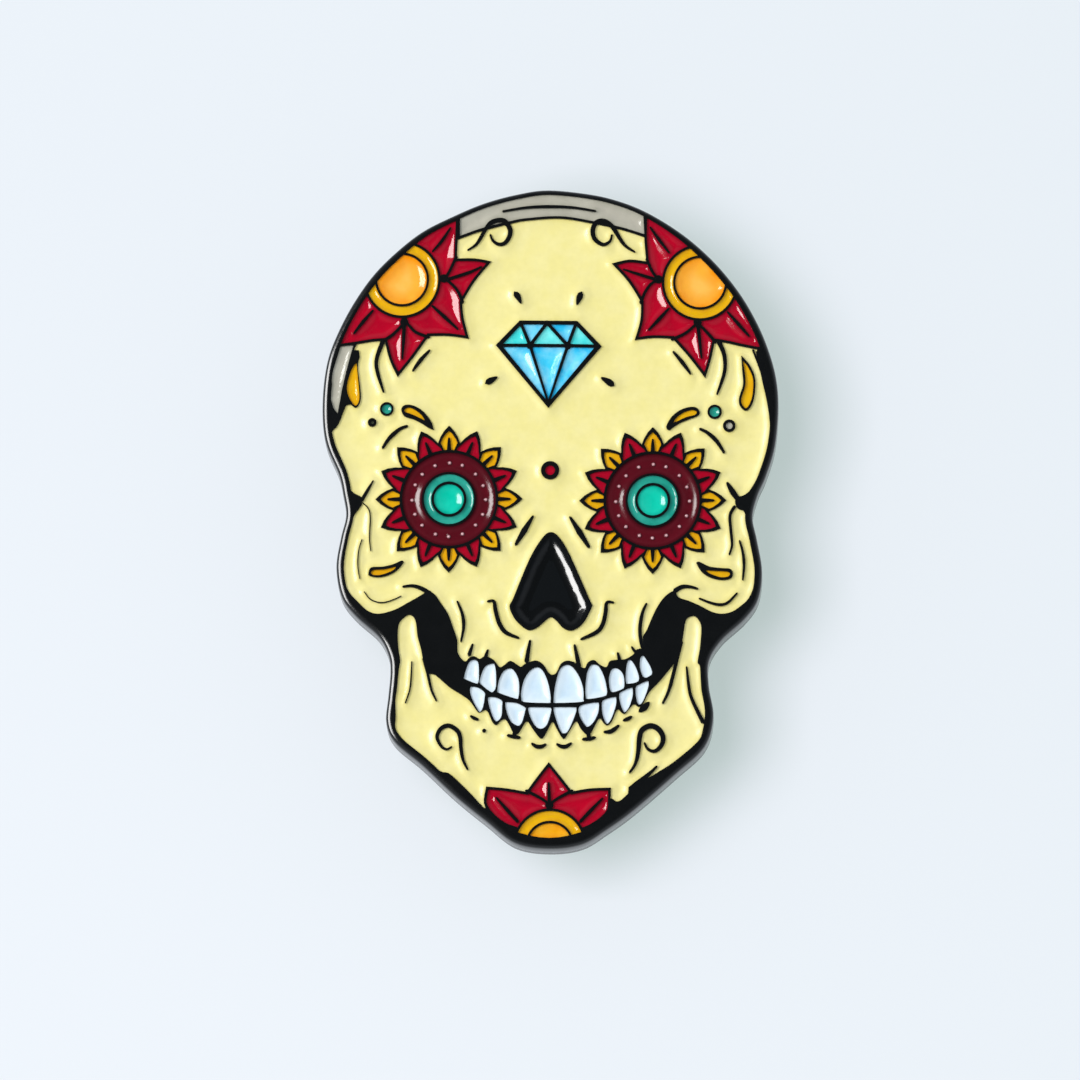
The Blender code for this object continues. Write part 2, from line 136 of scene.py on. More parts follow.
def stroke(points, widths, steps=5, cap=True):
    """The outline of a pen stroke along the points, with the pen's width changing along it."""
    if len(points) == 2:
        points = [points[0], tuple((np.array(points[0]) + np.array(points[1])) / 2), points[1]]
    if not hasattr(widths, "__len__"):
        widths = [widths * 0.7, widths, widths * 0.7]
    length = [0.0]
    for a, b in zip(points, points[1:]):
        length.append(length[-1] + math.dist(a, b))
    where = np.linspace(0, length[-1], len(widths))
    path = []
    n = len(points)
    for i in range(n - 1):
        a = points[max(i - 1, 0)]
        d = points[min(i + 2, n - 1)]
        for k in range(steps):
            t = k / steps
            x, y = catmull(a, points[i], points[i + 1], d, t)
            path.append((x, y, length[i] + (length[i + 1] - length[i]) * t))
    path.append((*points[-1], length[-1]))
    left, right = [], []
    for i, (x, y, s) in enumerate(path):
        x0, y0, _ = path[max(i - 1, 0)]
        x1, y1, _ = path[min(i + 1, len(path) - 1)]
        d = Vector((x1 - x0, y1 - y0)).normalized()
        w = max(float(np.interp(s, where, widths)), 0.7) / 2
        left.append((x - d.y * w, y + d.x * w))
        right.append((x + d.y * w, y - d.x * w))
    out = left
    if cap:
        d = (Vector(path[-1][:2]) - Vector(path[-2][:2])).normalized() * (max(widths[-1], 0.7) / 2)
        out = out + [(path[-1][0] + d.x, path[-1][1] + d.y)]
    out = out + right[::-1]
    if cap:
        d = (Vector(path[0][:2]) - Vector(path[1][:2])).normalized() * (max(widths[0], 0.7) / 2)
        out = out + [(path[0][0] + d.x, path[0][1] + d.y)]
    return out


# ---- layers: painted in order, a later one over an earlier one ------------------------------
INK = ("badge_plate", "black_nickel")
layers = []  # (loop in millimetres, class)


def paint(kind, loop):
    pts = []
    for p in [at(*p) for p in loop]:
        if not pts or (p - pts[-1]).length > 0.012:
            pts.append(p)
    if (pts[0] - pts[-1]).length <= 0.012:
        pts.pop()
    if len(pts) > 2:
        layers.append((ccw(pts), kind))


def ink(loop):
    paint(INK, loop)


def pen(points, widths, steps=5, cap=True):
    if not hasattr(widths, "__len__"):
        widths = [widths * 0.7, widths, widths * 0.7]
    ink(stroke(points, [w * 1.12 + 0.35 for w in widths], steps, cap))


def hair(points, width, steps=5):
    ink(stroke(points, [width * 0.7, width, width * 0.7], steps))


BONE = ("enamel_skull", "bone_enamel")
JAWBONE = ("enamel_jaw", "bone_enamel")

# Skull, under everything else.
GUM_TOP = [
    (458, 652), (461.4, 658.8), (466, 662), (470, 658), (474.8, 656.8), (480, 659.5), (484.8, 656.8),
    (490, 658), (495, 661.5), (500, 667.8), (505, 665.5), (510.3, 661.5), (515.6, 664), (521, 667.5),
    (525, 664.8), (531.7, 662), (537.7, 661.5), (543.7, 665.5), (549, 673.5), (553, 675.5), (557, 673),
    (561, 664.8), (567, 661.5), (574, 662.8), (581, 667.5), (585.3, 668.8), (588, 663.5), (594, 660.8),
    (600, 665.5), (606.7, 668), (610, 662), (616.7, 660.8), (622.8, 660.5), (626.8, 659.5),
    (633.5, 655.4), (637.5, 650), (641.5, 651),
]
SKULL_EDGE = (
    [(401, 279), (458, 236.8), (550, 217), (645, 235.5), (700, 283), (757, 350), (757.5, 358)]
    + [(762, 381), (767.5, 406), (770, 432), (766, 455), (758.6, 476.7), (747, 495.8), (739, 503)]
    + [(738.4, 510), (744, 513), (748.6, 527), (754.5, 539.7), (752, 546), (755, 569), (754.3, 585.7)]
    + [(748.6, 599.7), (741, 607), (732, 613), (721.8, 615), (711.6, 613), (700, 607), (688.6, 602)]
    + [(678.4, 598.4), (674.6, 592), (665.7, 597), (658, 607), (651.6, 620), (647, 631), (643, 638)]
    + [(643.5, 648)]
    + GUM_TOP[::-1]
    + [(457.6, 640.5), (453.7, 629), (448.6, 615), (441, 603.5), (434.6, 594.6), (427, 591)]
    + [(425.4, 593), (416.7, 598.4), (406.5, 604), (397.6, 609), (386, 613), (376, 614), (367, 610.5)]
    + [(358, 602), (349, 592), (344.7, 579), (344.4, 561), (348.6, 536), (351.4, 524), (354.6, 515), (361, 506.4)]
    + [(362, 501), (360.8, 497), (350.6, 490.7), (343, 473), (336.6, 457.6), (332, 438), (332, 431)]
    + [(338, 424), (341.7, 404), (347.4, 403.3), (353.8, 406.5), (358.3, 404), (359.5, 396)]
    + [(357, 372), (357.6, 357), (354.4, 346.6)]
)
paint(BONE, corners(SKULL_EDGE, {0, 1, 3, 4, 5, 13, 14, 18}, 3))

JAW_TOP = [
    (450, 687.6), (460.7, 694.3), (470, 701), (476.8, 710.4), (480, 713), (485.5, 710.4), (488.8, 713),
    (493, 722.4), (497, 725.4), (501.6, 721), (506, 720), (510.3, 726.4), (514.3, 733.8), (519, 733.8),
    (523.7, 726.4), (527.7, 721.7), (533, 729), (539.7, 737.8), (543.7, 738.2), (549, 729), (553, 722.4),
    (557, 729), (562.5, 738.2), (565.8, 738.2), (573, 726.4), (577, 722), (581, 729), (586.6, 735),
    (590.6, 735), (596, 725), (600, 719), (604, 723.7), (607.4, 726), (612, 722.4), (617.4, 710.4),
    (621.4, 713), (624.8, 714.8), (628.8, 710.4), (634, 705), (638.8, 707.7), (642.8, 705),
    (649.5, 693), (660, 682),
]
JAW_EDGE = (
    [(407.8, 615.6), (412, 616), (414.8, 618.8), (416.7, 625), (418, 636.7), (421.8, 650.7)]
    + [(424.4, 664), (429.5, 673.7), (436, 675.5)]
    + JAW_TOP
    + [(667, 673.5), (674, 664.7), (680.3, 653.3), (683.5, 635.4), (686, 621.4), (691, 617.6)]
    + [(695, 617.6), (698.8, 621.4), (701.4, 629), (700, 649.4), (697.6, 663.5), (700, 667.3)]
    + [(701.4, 690), (705, 711.5), (703, 730), (697.8, 742.5), (674.8, 762), (661, 771)]
    + [(639, 784.5), (633.5, 789), (622, 800), (616.3, 801.6), (611.7, 798.7), (600, 800)]
    + [(550, 806), (500, 800), (487, 808), (482, 805), (471.8, 794), (458, 780.4), (449, 773)]
    + [(440.8, 771), (426, 758.5), (407.6, 744.8), (399.5, 735.6), (396, 726.4), (396.6, 717)]
    + [(396, 700), (397.6, 690), (399.5, 668.6), (400.8, 661), (399, 649.4), (398.2, 634), (400, 622.7)]
)
paint(JAWBONE, corners(JAW_EDGE, set(), 3))

# Crown band and its lines.
paint(
    ("enamel_crown", "beige_enamel"),
    [(459, 185), (641.5, 185), (644, 235.5), (621.6, 228.5), (592, 222), (560, 217), (525.8, 218.9)]
    + [(509, 222), (480.5, 229), (459, 237)],
)
pen([(453, 239), (480.5, 229), (509, 222), (525.8, 218.9), (560, 217), (592, 222), (621.6, 228.5), (648, 237)], [2.2, 2, 2.2], 6)
pen([(502.2, 210.6), (525, 207), (548, 206), (572, 207), (594.8, 210.6)], [1.6, 2.6, 1.6], 6)
pen(
    [(467, 249.5), (475.4, 243.8), (481.2, 234.8), (484.4, 229), (490, 222), (497.8, 219.5), (504, 220.8)]
    + [(509.2, 228.5), (508.6, 236), (504, 242.5), (497.8, 243.8), (492, 240), (489.5, 234.2)],
    [1.2, 2.8, 3.4, 4, 4, 3, 1.4],
)
pen(
    [(634.4, 252), (624.2, 245), (616.5, 233.6), (611.4, 226), (603.8, 220.8), (596, 222), (592.3, 229.7)]
    + [(594.2, 238.7), (602.5, 244.4), (609.5, 241), (611.4, 234.8)],
    [1.2, 2.8, 3.6, 4, 4, 3, 1.4],
)

# Left temple: slit, black corner and leaf.
paint(
    ("enamel_temple", "beige_enamel"),
    [(340, 345), (352.5, 345), (350, 354), (345.5, 371), (341, 391), (339, 402.7), (337, 414)]
    + [(332.8, 408), (330.2, 399), (331, 374.6)],
)
ink([(352, 350), (358, 350), (359, 357), (357.5, 362), (349, 370), (346.5, 384), (345.5, 396), (346, 404),
     (339.5, 421), (335, 428), (331, 431), (333, 417), (337, 414.5), (339.5, 402.7), (341.6, 391), (346, 371), (350.5, 354)])
ink([(333, 428), (340, 404), (347, 400), (353, 404), (347, 405), (342.5, 406), (338.6, 423), (333, 430)])


def leafed(name, slot, outer, gold, sharp=(0,)):
    ink(corners(outer, set(sharp), 4))
    paint((name, slot), corners(gold, set(sharp), 4))


leafed(
    "leaf_temple_left", "gold_enamel",
    [(355.2, 357.5), (359.3, 385), (360, 400.5), (354.4, 407.8), (346, 397), (344.6, 385), (349, 369.5)],
    [(355.6, 362), (358, 385), (358.6, 400), (354.2, 405.6), (347.8, 396), (346.4, 385), (350.6, 370)],
)
# Right temple slit, line and leaf.
ink([(756, 352), (761.5, 355), (765.5, 373.4), (762.6, 376), (757.4, 361)])
pen([(753, 351), (758.6, 365.7), (763.7, 381)], [1.6, 1.4, 0.9])
leafed(
    "leaf_temple_right", "gold_enamel",
    [(741.2, 356.5), (749.9, 366.5), (755.2, 379.7), (754.6, 396.3), (751.4, 407), (745.8, 412), (740, 407), (739, 399), (743, 386), (742.2, 372)],
    [(742.2, 361), (748, 368), (753, 380), (752.5, 396), (749.6, 405), (745.8, 409.4), (742, 405.5), (741.4, 399.4), (745.4, 386), (744.7, 372)],
)


def dot(name, slot, x, y, outer, inner):
    ink(circle(x, y, outer, 28))
    paint((name, slot), circle(x, y, inner, 24))


dot("dot_teal_left", "teal_enamel", 386.3, 409.1, 6.9, 4.8)
dot("dot_dark_left", "black_enamel", 371.7, 422.5, 4.4, 1.6)
dot("dot_teal_right", "teal_enamel", 714.6, 412.9, 7.2, 5.0)
dot("dot_cream_right", "bone_enamel", 729.2, 426.9, 6.3, 3.4)
dot("dot_red_centre", "crimson_enamel", 550, 471, 9.2, 4.9)

# Brow leaves and arcs.
leafed(
    "leaf_brow_left", "gold_enamel",
    [(433.4, 430.4), (428.5, 428.4), (421, 423.6), (413, 419.6), (404, 416.4), (400.8, 409.6), (404, 405.4), (411, 405.2), (420, 409.4), (427, 416.4), (431.6, 423.5)],
    [(424.6, 421), (418, 417.6), (410.5, 414.2), (404.8, 412), (404.6, 409), (409.5, 407.8), (416, 411), (421.5, 415.8)],
)
leafed(
    "leaf_brow_right", "gold_enamel",
    [(667.2, 430.4), (666.3, 427), (671.3, 418.1), (679.6, 411.3), (689.5, 408), (696.2, 408.6), (699.7, 413), (698, 416.8), (689.5, 420.2), (679.6, 424.3), (672.1, 429.2), (669.7, 431.2)],
    [(673.2, 423.6), (675.9, 419.2), (683, 413.7), (690.4, 411.1), (695.2, 411.6), (696.6, 413.7), (694.3, 416.1), (686.2, 418.1), (677.9, 421.9)],
)
pen([(382.5, 448), (389, 438.4), (399, 429.5), (406.7, 426.3)], [2, 3.5, 2])
pen([(700, 430), (707.6, 434), (716.5, 442.2), (724, 453.7)], [2, 3.5, 2])

# Gem and its rays.
ink([(495.2, 345.2), (519.2, 320.6), (576.8, 321.2), (601.4, 346.9), (548, 408.4)])
A, B, C, D, E = (499, 345.4), (520.2, 322.9), (575.8, 323.4), (597.4, 346.6), (548, 404.4)
F, G, H = (529.6, 345.6), (567.4, 346), (546.6, 323)
for tri, name, slot in (
    ((A, B, F), "gem_crown", "aqua_enamel"),
    ((B, H, F), "gem_crown", "blue_enamel"),
    ((H, G, F), "gem_crown", "aqua_enamel"),
    ((H, C, G), "gem_crown", "blue_enamel"),
    ((C, D, G), "gem_crown", "aqua_enamel"),
    ((A, F, E), "gem_pavilion", "blue_enamel"),
    ((F, G, E), "gem_pavilion", "blue_enamel"),
    ((G, D, E), "gem_pavilion", "blue_enamel"),
):
    paint((name, slot), shrink(tri, 1.62))
ink(circle(529.6, 345.6, 3.8, 16))
ink(circle(567.4, 346, 3.8, 16))
ink(circle(546.4, 323.4, 2.8, 14))
pen([(515, 293.4), (517.6, 297), (520.4, 303)], [4.4, 5.2, 3.4, 1.2])
pen([(580.4, 294), (578.8, 298), (576.6, 304.4)], [4.6, 5.4, 3.6, 1.2])
pen([(487, 382.6), (491, 380.4), (496.6, 377.4)], [4.6, 5.4, 3.6, 1.2])
pen([(601.4, 378.4), (607, 381.6), (612, 385)], [1.4, 3.8, 5.6, 4.8])

# Free strokes between the flowers and the temples.
pen([(428.9, 350.3), (420, 360), (412.3, 370.7)], [1.6, 3.4, 1.6])
pen([(381.7, 342), (376, 358.6), (376.6, 371.3), (383, 392)], [4, 3.2, 3, 1.4])
pen([(673.2, 352.5), (682, 363), (690.4, 374.5)], [1.6, 3.4, 1.6])
pen([(719, 343), (724.1, 355.5), (724.8, 370.8), (720.9, 384.8), (717, 395)], [4, 3.4, 3, 2.6, 1.4])
pen([(373, 481), (367.5, 490.5), (361.6, 500.6)], [0.9, 2.6, 3.0])
pen([(727.3, 484.3), (732.5, 493), (738.2, 501)], [2, 5, 4])
ink(corners([(752, 490), (745, 496), (738, 498.5), (735, 502.5), (737.4, 509.5), (744, 511.6), (749, 506)], {0}, 3))

# Cheeks.
hair([(362.5, 503), (368.3, 509), (370.2, 518), (369.5, 538.5), (370.8, 551)], 1.3)
hair([(362, 539.7), (358.7, 551), (358, 566.5), (360, 579)], 1.2)
pen([(734.5, 508), (730, 516.8), (730.7, 530.8), (732, 546), (729.4, 555.7)], [2.6, 2.4, 2.2, 1.4])
pen([(739.6, 542.3), (742.8, 553.8), (744, 566.5), (742.8, 581)], [1.4, 2.5, 1.4])
hair([(364.4, 592), (370.8, 599.7), (381, 603), (391, 601), (401.4, 596.5)], 1.2)
pen([(699.5, 599.7), (710.3, 604), (720.5, 606), (728.2, 603.5), (737, 594.6)], [1.4, 2.4, 1.4])
leafed(
    "leaf_cheek_left", "gold_enamel",
    [(368.6, 573.8), (371.4, 567.8), (383.3, 567), (394, 564.4), (401.6, 561), (403.6, 563.4), (396.4, 571.4), (387.2, 576.2), (378, 577.8), (370, 576.4)],
    [(371.2, 573.4), (373.6, 570.4), (385, 569.6), (396, 567), (392.4, 571), (382, 575), (374, 575.4)],
    (),
)
leafed(
    "leaf_cheek_right", "gold_enamel",
    [(696.2, 564), (699.5, 563.1), (709.5, 567.8), (722.7, 569.5), (730.2, 570.2), (733, 574.9), (730.4, 580), (721.1, 581.4), (709.5, 578.6), (701.2, 572.6)],
    [(705.3, 571.3), (714.4, 572.2), (726, 572.7), (729.8, 574.6), (728.2, 577.8), (721.1, 578.6), (712.8, 576.1), (707.8, 573.7)],
)
pen([(403.3, 587), (413, 586.3), (421.8, 589), (430, 594)], [1.6, 3, 4])
pen([(675, 592), (682, 588), (690, 588), (697.6, 590)], [4, 3, 1.6])
pen([(457.6, 602), (462.7, 615), (464, 627.8), (461.4, 641.8)], [1.4, 3, 1.4])
pen([(646.5, 604.8), (642.7, 613.7), (640.2, 627.8), (640.8, 640.5), (642.7, 649.4)], [1.6, 3, 3, 2.4])

# Nose and what surrounds it.
NOSE_EDGE = [
    (551, 533), (543, 538), (530, 559), (513.7, 598.4), (509.8, 607), (513.7, 617.5), (520, 625), (529, 631),
    (538, 628), (545, 622), (551, 618), (557, 622), (563, 628.5), (570, 631.5), (577.7, 629),
    (585.3, 621.4), (592.3, 607), (590.4, 602), (570, 556), (559, 538),
]
ink(corners(NOSE_EDGE, set(), 4))
paint(("enamel_nose", "black_enamel"), corners(shrink(NOSE_EDGE, 2.6), set(), 4))
pen([(533, 517), (524.5, 531), (516, 545)], [1.6, 5, 2.4])
pen([(570, 518), (579.5, 533), (589, 548)], [1.6, 5, 2.4])
pen([(488, 602), (494, 602), (495.8, 611), (499.6, 624), (506, 633), (518.8, 638.6)], [1.6, 3.4, 3.5, 3.4, 1.8])
pen([(613.4, 603.5), (607, 603.5), (605.7, 613.7), (603, 625), (596.8, 633), (581.5, 640)], [1.6, 3.4, 3.5, 3.4, 1.8])
pen([(530.4, 641.4), (528.6, 652), (527, 662)], [1.8, 3.2, 4])
pen([(574.8, 646), (577, 656), (579.2, 667)], [1.8, 3.2, 4])
pen([(473, 645), (469.7, 655)], [1.6, 2.6, 3.4])
pen([(488.2, 650.7), (486, 658)], [1.6, 2.6, 3.4])
pen([(618, 654), (620, 662)], [1.6, 2.6, 3.4])
pen([(632, 648), (636, 653), (641, 651)], [1.4, 2.4, 3])

# Teeth.
UPPER = (
    [(474, 660.2), (478.5, 662.8), (479.4, 673), (478.9, 682.5), (475.9, 683.8), (465.1, 679.3), (464.8, 677.4), (466.4, 670.4), (469.6, 662.8)],
    [(491.9, 664.3), (494.7, 664.7), (496.4, 673), (496.4, 687), (493.8, 692.1), (490.6, 692.1), (481, 684.4), (480.4, 680), (483.6, 670.4), (486.8, 666)],
    [(510.4, 668.9), (514.8, 671.7), (518.7, 679.3), (519.7, 688.3), (518.9, 697.8), (516.1, 699.1), (499.5, 693.4), (498, 690.2), (499.5, 680.6), (504, 671.7)],
    [(537.2, 667.9), (542.9, 671), (548, 681.9), (550.8, 694.6), (550.8, 702.3), (548.6, 703.6), (525, 702.6), (521.9, 699.1), (521.9, 690.8), (525, 679.3), (530.8, 671)],
    [(567.8, 665.6), (573.5, 668.5), (579.9, 678.1), (583.5, 689.5), (583.7, 699.7), (581.8, 702.6), (556.3, 703.6), (554.1, 701.7), (555, 689.5), (558.2, 675.5), (562, 667.9)],
    [(593.9, 665.3), (599, 667.2), (604.1, 676.8), (606.7, 687), (607.3, 694), (604.1, 697.2), (588.8, 699.7), (586, 697.2), (586, 684.4), (587.6, 673), (590.7, 666.6)],
    [(615, 668.9), (620.1, 671), (623.9, 676.8), (624.5, 687), (622, 690.2), (613.1, 693), (610.3, 690.2), (609.2, 680.6), (611.1, 671.7)],
    [(630.3, 660.8), (634.1, 664.7), (637.9, 673), (639.2, 680), (636.7, 683.2), (628.4, 684.7), (626.2, 683.2), (626.1, 673), (627.7, 662.8)],
    [(643, 656.6), (646.2, 660.2), (650.7, 667.9), (652.3, 674.2), (650, 676.8), (645.6, 678.7), (642.4, 676.1), (640.1, 667.9), (640.5, 659.6)],
)
LOWER = (
    [(470.8, 688.3), (472.8, 687), (479.1, 688.3), (484.9, 692.7), (485.3, 697.2), (483.6, 707.4), (481, 711.9), (479.1, 711.2), (473.4, 701), (470.8, 693.4)],
    [(488.7, 698.5), (491.3, 697.4), (498.3, 698.5), (502.7, 701.7), (502.7, 706.1), (502.1, 716.3), (498.9, 720.8), (495.7, 721.2), (492.5, 715), (489.3, 704.8)],
    [(505.7, 703.6), (507.8, 702.6), (517.4, 703.6), (525.7, 708), (525.7, 711.2), (523.1, 721.4), (519.9, 725.9), (516.1, 725.5), (511, 721.4), (507.2, 712.5)],
    [(528.6, 708.7), (530.8, 707.7), (549.3, 708), (551.6, 708.9), (551.2, 713.8), (548, 724), (544.2, 728.4), (539.7, 729.1), (535.3, 725.9), (530.8, 717.6), (528.9, 711.2)],
    [(554.1, 708.7), (556.3, 707.7), (574.8, 707.8), (576.7, 708.9), (576.1, 713.8), (571.6, 725.3), (567.8, 732.3), (564.6, 733.9), (561.4, 732.3), (556.9, 721.4), (554.4, 712.5)],
    [(578.9, 709.3), (581.2, 706.1), (590.1, 703.8), (597.8, 703.2), (599.3, 704.8), (598.4, 713.8), (593.9, 722.7), (589.5, 726.8), (586.3, 726.8), (581.8, 720.2), (579.3, 713.8)],
    [(602.2, 703.6), (605.4, 700), (615, 697.7), (616.5, 699.1), (616.2, 706.1), (612.4, 717.6), (608.6, 724), (606, 723.3), (602.9, 715)],
    [(619.4, 695.3), (622.6, 692.1), (630.9, 688.6), (632.8, 689.8), (632.8, 697.2), (629.6, 707.4), (625.8, 712.5), (623.9, 712.5), (620.7, 704.8)],
    [(636, 688.3), (638.6, 685.7), (646.9, 681.9), (648.8, 683.2), (648.1, 689.5), (643.7, 701), (640.5, 705.1), (637.9, 704.2), (636, 695.9)],
)
for row, name in ((UPPER, "teeth_upper"), (LOWER, "teeth_lower")):
    for tooth in row:
        paint((name, "white_enamel"), closed_curve(tooth, 3))

# Chin lines.
pen([(471.4, 716.4), (474.6, 718.4), (478.6, 720)], [1.6, 3, 1.8])
ink(circle(484.8, 731, 2, 12))
pen([(508.6, 735.8), (514, 737), (520, 738)], [2.2, 3.4, 2.4])
pen([(516, 731), (514.5, 736.6)], [3.6, 3.4, 3.2])
pen([(532.6, 744), (536, 746.4), (539.4, 747.2), (543, 746.6), (546.2, 744.8)], [1.8, 3.0, 3.4, 3.0, 1.8])
pen([(557.6, 744.6), (561, 746.6), (564.6, 747.2), (568, 746.2), (571.6, 743.8)], [1.8, 3.0, 3.4, 3.0, 1.8])
pen([(583.6, 739.8), (589.5, 739.4), (595, 738.2)], [2.2, 3.4, 2.4])
pen([(588.6, 733), (589.4, 738.8)], [3.6, 3.4, 3.2])
pen([(604.7, 732.6), (610.7, 732.2), (615, 729.6), (618.9, 726.4)], [1.8, 3.6, 3.4, 2.0])
pen([(624, 721), (628, 719.6), (631.5, 717.7)], [1.8, 3.4, 2.2])
pen([(640.2, 711.7), (644.4, 708.4), (648.6, 704)], [3, 6, 3])

# Jaw lines.
pen([(424.4, 659), (428, 673), (432, 690), (437, 701)], [3, 2.2, 2, 1.2])
hair([(412.3, 662), (411.8, 676), (410.4, 690), (406, 703)], 1.7)
pen([(682, 643), (677, 661), (669.5, 690), (663, 704)], [2, 3, 3, 1.6])
pen([(686.7, 668), (689.3, 690), (692, 700), (697, 711), (703, 723)], [1.2, 2.4, 2.6, 3, 3.4])
pen([(657, 767), (652, 772), (645, 778.5), (638, 785.5), (632, 791)], [1.6, 2.6, 4.5, 7, 8])
pen(
    [(468.4, 769.5), (463.8, 759.7), (461.7, 748), (461, 738), (458, 731), (450, 726), (442.6, 728)]
    + [(438.3, 734.4), (438.5, 740), (442.6, 747), (447.7, 749.4), (452.3, 747)],
    [1.4, 2.6, 3.2, 3.6, 3.6, 3.2, 2.4, 1.2],
)
pen(
    [(630, 773), (635.8, 764), (638.6, 751.7), (639.8, 738), (642.7, 730.4), (650.7, 726.6), (658.7, 730)]
    + [(663.3, 738), (661.6, 746), (655.3, 751.7), (648.4, 750), (644.7, 743.6)],
    [1.4, 3, 4, 4.4, 4.6, 4.2, 3, 1.4],
)


# Flowers.
def flower(side, silhouette, sharp, lines, knots, x, y, ring, ring_in, disc_r, line_r, slots):
    edge = corners(silhouette, sharp, 4)
    ink(edge)
    paint((f"flower_{side}_petals", "crimson_enamel"), corners(shrink(silhouette, 2.7), sharp, 4))
    for points, widths in lines:
        pen(points, [w * 0.66 for w in widths])
    for k in knots:
        ink(circle(*k, 4.2, 16))
    ink(circle(x, y, ring + 2.6, 56))
    paint((f"flower_{side}_ring", "gold_enamel"), circle(x, y, ring, 56))
    ink(circle(x, y, ring_in, 48))
    paint((f"flower_{side}_disc", "orange_enamel"), circle(x, y, disc_r, 48))


flower(
    "left",
    [(330, 190), (457.6, 190), (457.6, 217), (456, 258), (474, 258), (490.7, 261), (474, 281), (461.4, 302), (463, 318), (468.4, 338.8),
     (448, 336), (428, 336), (413, 357), (397, 377), (389, 360), (383.8, 340.5), (372, 341.4), (360, 343.3), (341, 346), (310, 352)],
    {0, 1, 2, 3, 5, 7, 9, 11, 13, 15, 18, 19},
    [
        ([(443, 278), (446, 275), (450, 268), (455.5, 256)], [3, 3.4, 3.6]),
        ([(443, 278), (450, 283), (457, 291), (461.8, 302)], [3, 3.4, 4]),
        ([(403.4, 321.6), (407, 324), (415, 332), (428, 337)], [3, 3.4, 4]),
        ([(403.4, 321.6), (399.5, 326.7), (392, 334.3), (383.6, 340)], [3, 3.4, 4]),
        ([(431.4, 250.8), (441, 240), (449.3, 227.2)], [1.6, 4, 2]),
        ([(446, 279), (458, 275.5), (471, 271), (480.6, 266.2)], [3.4, 4, 3.6, 1.6]),
        ([(431.4, 305.6), (444, 317), (457, 329)], [2.4, 4.6, 2]),
        ([(403.4, 324), (402.6, 342), (401.5, 358.6)], [4.6, 4.2, 2]),
        ([(372, 310), (362, 321.5), (353, 333)], [2, 4.4, 2]),
    ],
    [(443, 278), (403.4, 321.6)],
    401, 279, 36.2, 27.2, 24.8, 2.6, None,
)
flower(
    "right",
    [(644, 190), (770, 190), (790, 352), (757, 350.4), (740, 347), (727, 344), (714.7, 342), (711, 360), (705.2, 379), (689, 358), (672.7, 339.4),
     (653, 338.6), (634.4, 340.7), (640, 321), (640.8, 302.4), (628, 282), (611.4, 263.5), (629, 259.6), (646, 261.6), (644, 240), (644, 219.5)],
    {0, 1, 2, 3, 6, 8, 10, 12, 14, 16, 18, 20},
    [
        ([(658, 279.5), (655, 276), (651, 270), (646.5, 259)], [3, 3.4, 3.6]),
        ([(658, 279.5), (651, 284), (645, 292), (640.4, 303)], [3, 3.4, 4]),
        ([(697.5, 323), (693.5, 327), (685, 334), (672, 340)], [3, 3.4, 4]),
        ([(697.5, 323), (702, 328), (708.5, 335), (715.4, 343)], [3, 3.4, 4]),
        ([(649.7, 227), (659, 240), (668.8, 252.7)], [1.8, 4, 2]),
        ([(623, 269.3), (637, 274), (655, 279.5)], [1.6, 3.6, 4.2]),
        ([(668.8, 308.8), (659, 319.5), (648.4, 330.5)], [2.4, 4.6, 2]),
        ([(697.8, 326), (699.6, 342), (701.4, 358.6)], [4.6, 4.2, 2]),
        ([(727.5, 312.7), (738.4, 325), (749, 337)], [2, 4.4, 2]),
    ],
    [(658, 279.5), (697.5, 323)],
    700, 283, 35.9, 27.2, 24.8, 2.6, None,
)
flower(
    "chin",
    [(549.3, 762.6), (561, 777), (572.6, 791.8), (590, 788.8), (611.4, 788), (611, 800), (610, 811), (602, 820), (592, 826.6), (584, 830),
     (568, 836), (550, 838), (532, 836), (516.6, 829.4), (505.5, 825.4), (493, 816), (484.8, 803.5), (487, 786.6), (508, 788.6), (527, 792), (538, 777)],
    {0, 2, 4, 17, 19},
    [
        ([(550, 805), (556, 800), (563, 796), (572.6, 791)], [3, 3.4, 4]),
        ([(550, 805), (544, 800), (537, 796), (527, 791)], [3, 3.4, 4]),
        ([(549.3, 783), (549.6, 792), (550, 803)], [2, 4.2, 4.6]),
        ([(497, 797.6), (507, 809), (518.5, 821.5)], [2, 4.4, 4]),
        ([(603, 798.7), (592.5, 809.5), (581, 821.5)], [2, 4.4, 4]),
    ],
    [(550, 805)],
    550.4, 845, 34, 24.2, 21.8, 2.6, None,
)
ink([(508, 830), (518, 832), (530, 835.4), (540, 837.2), (550, 837.8), (560, 837.2), (570, 835.4), (582, 832), (592, 830), (592, 846), (508, 846)])


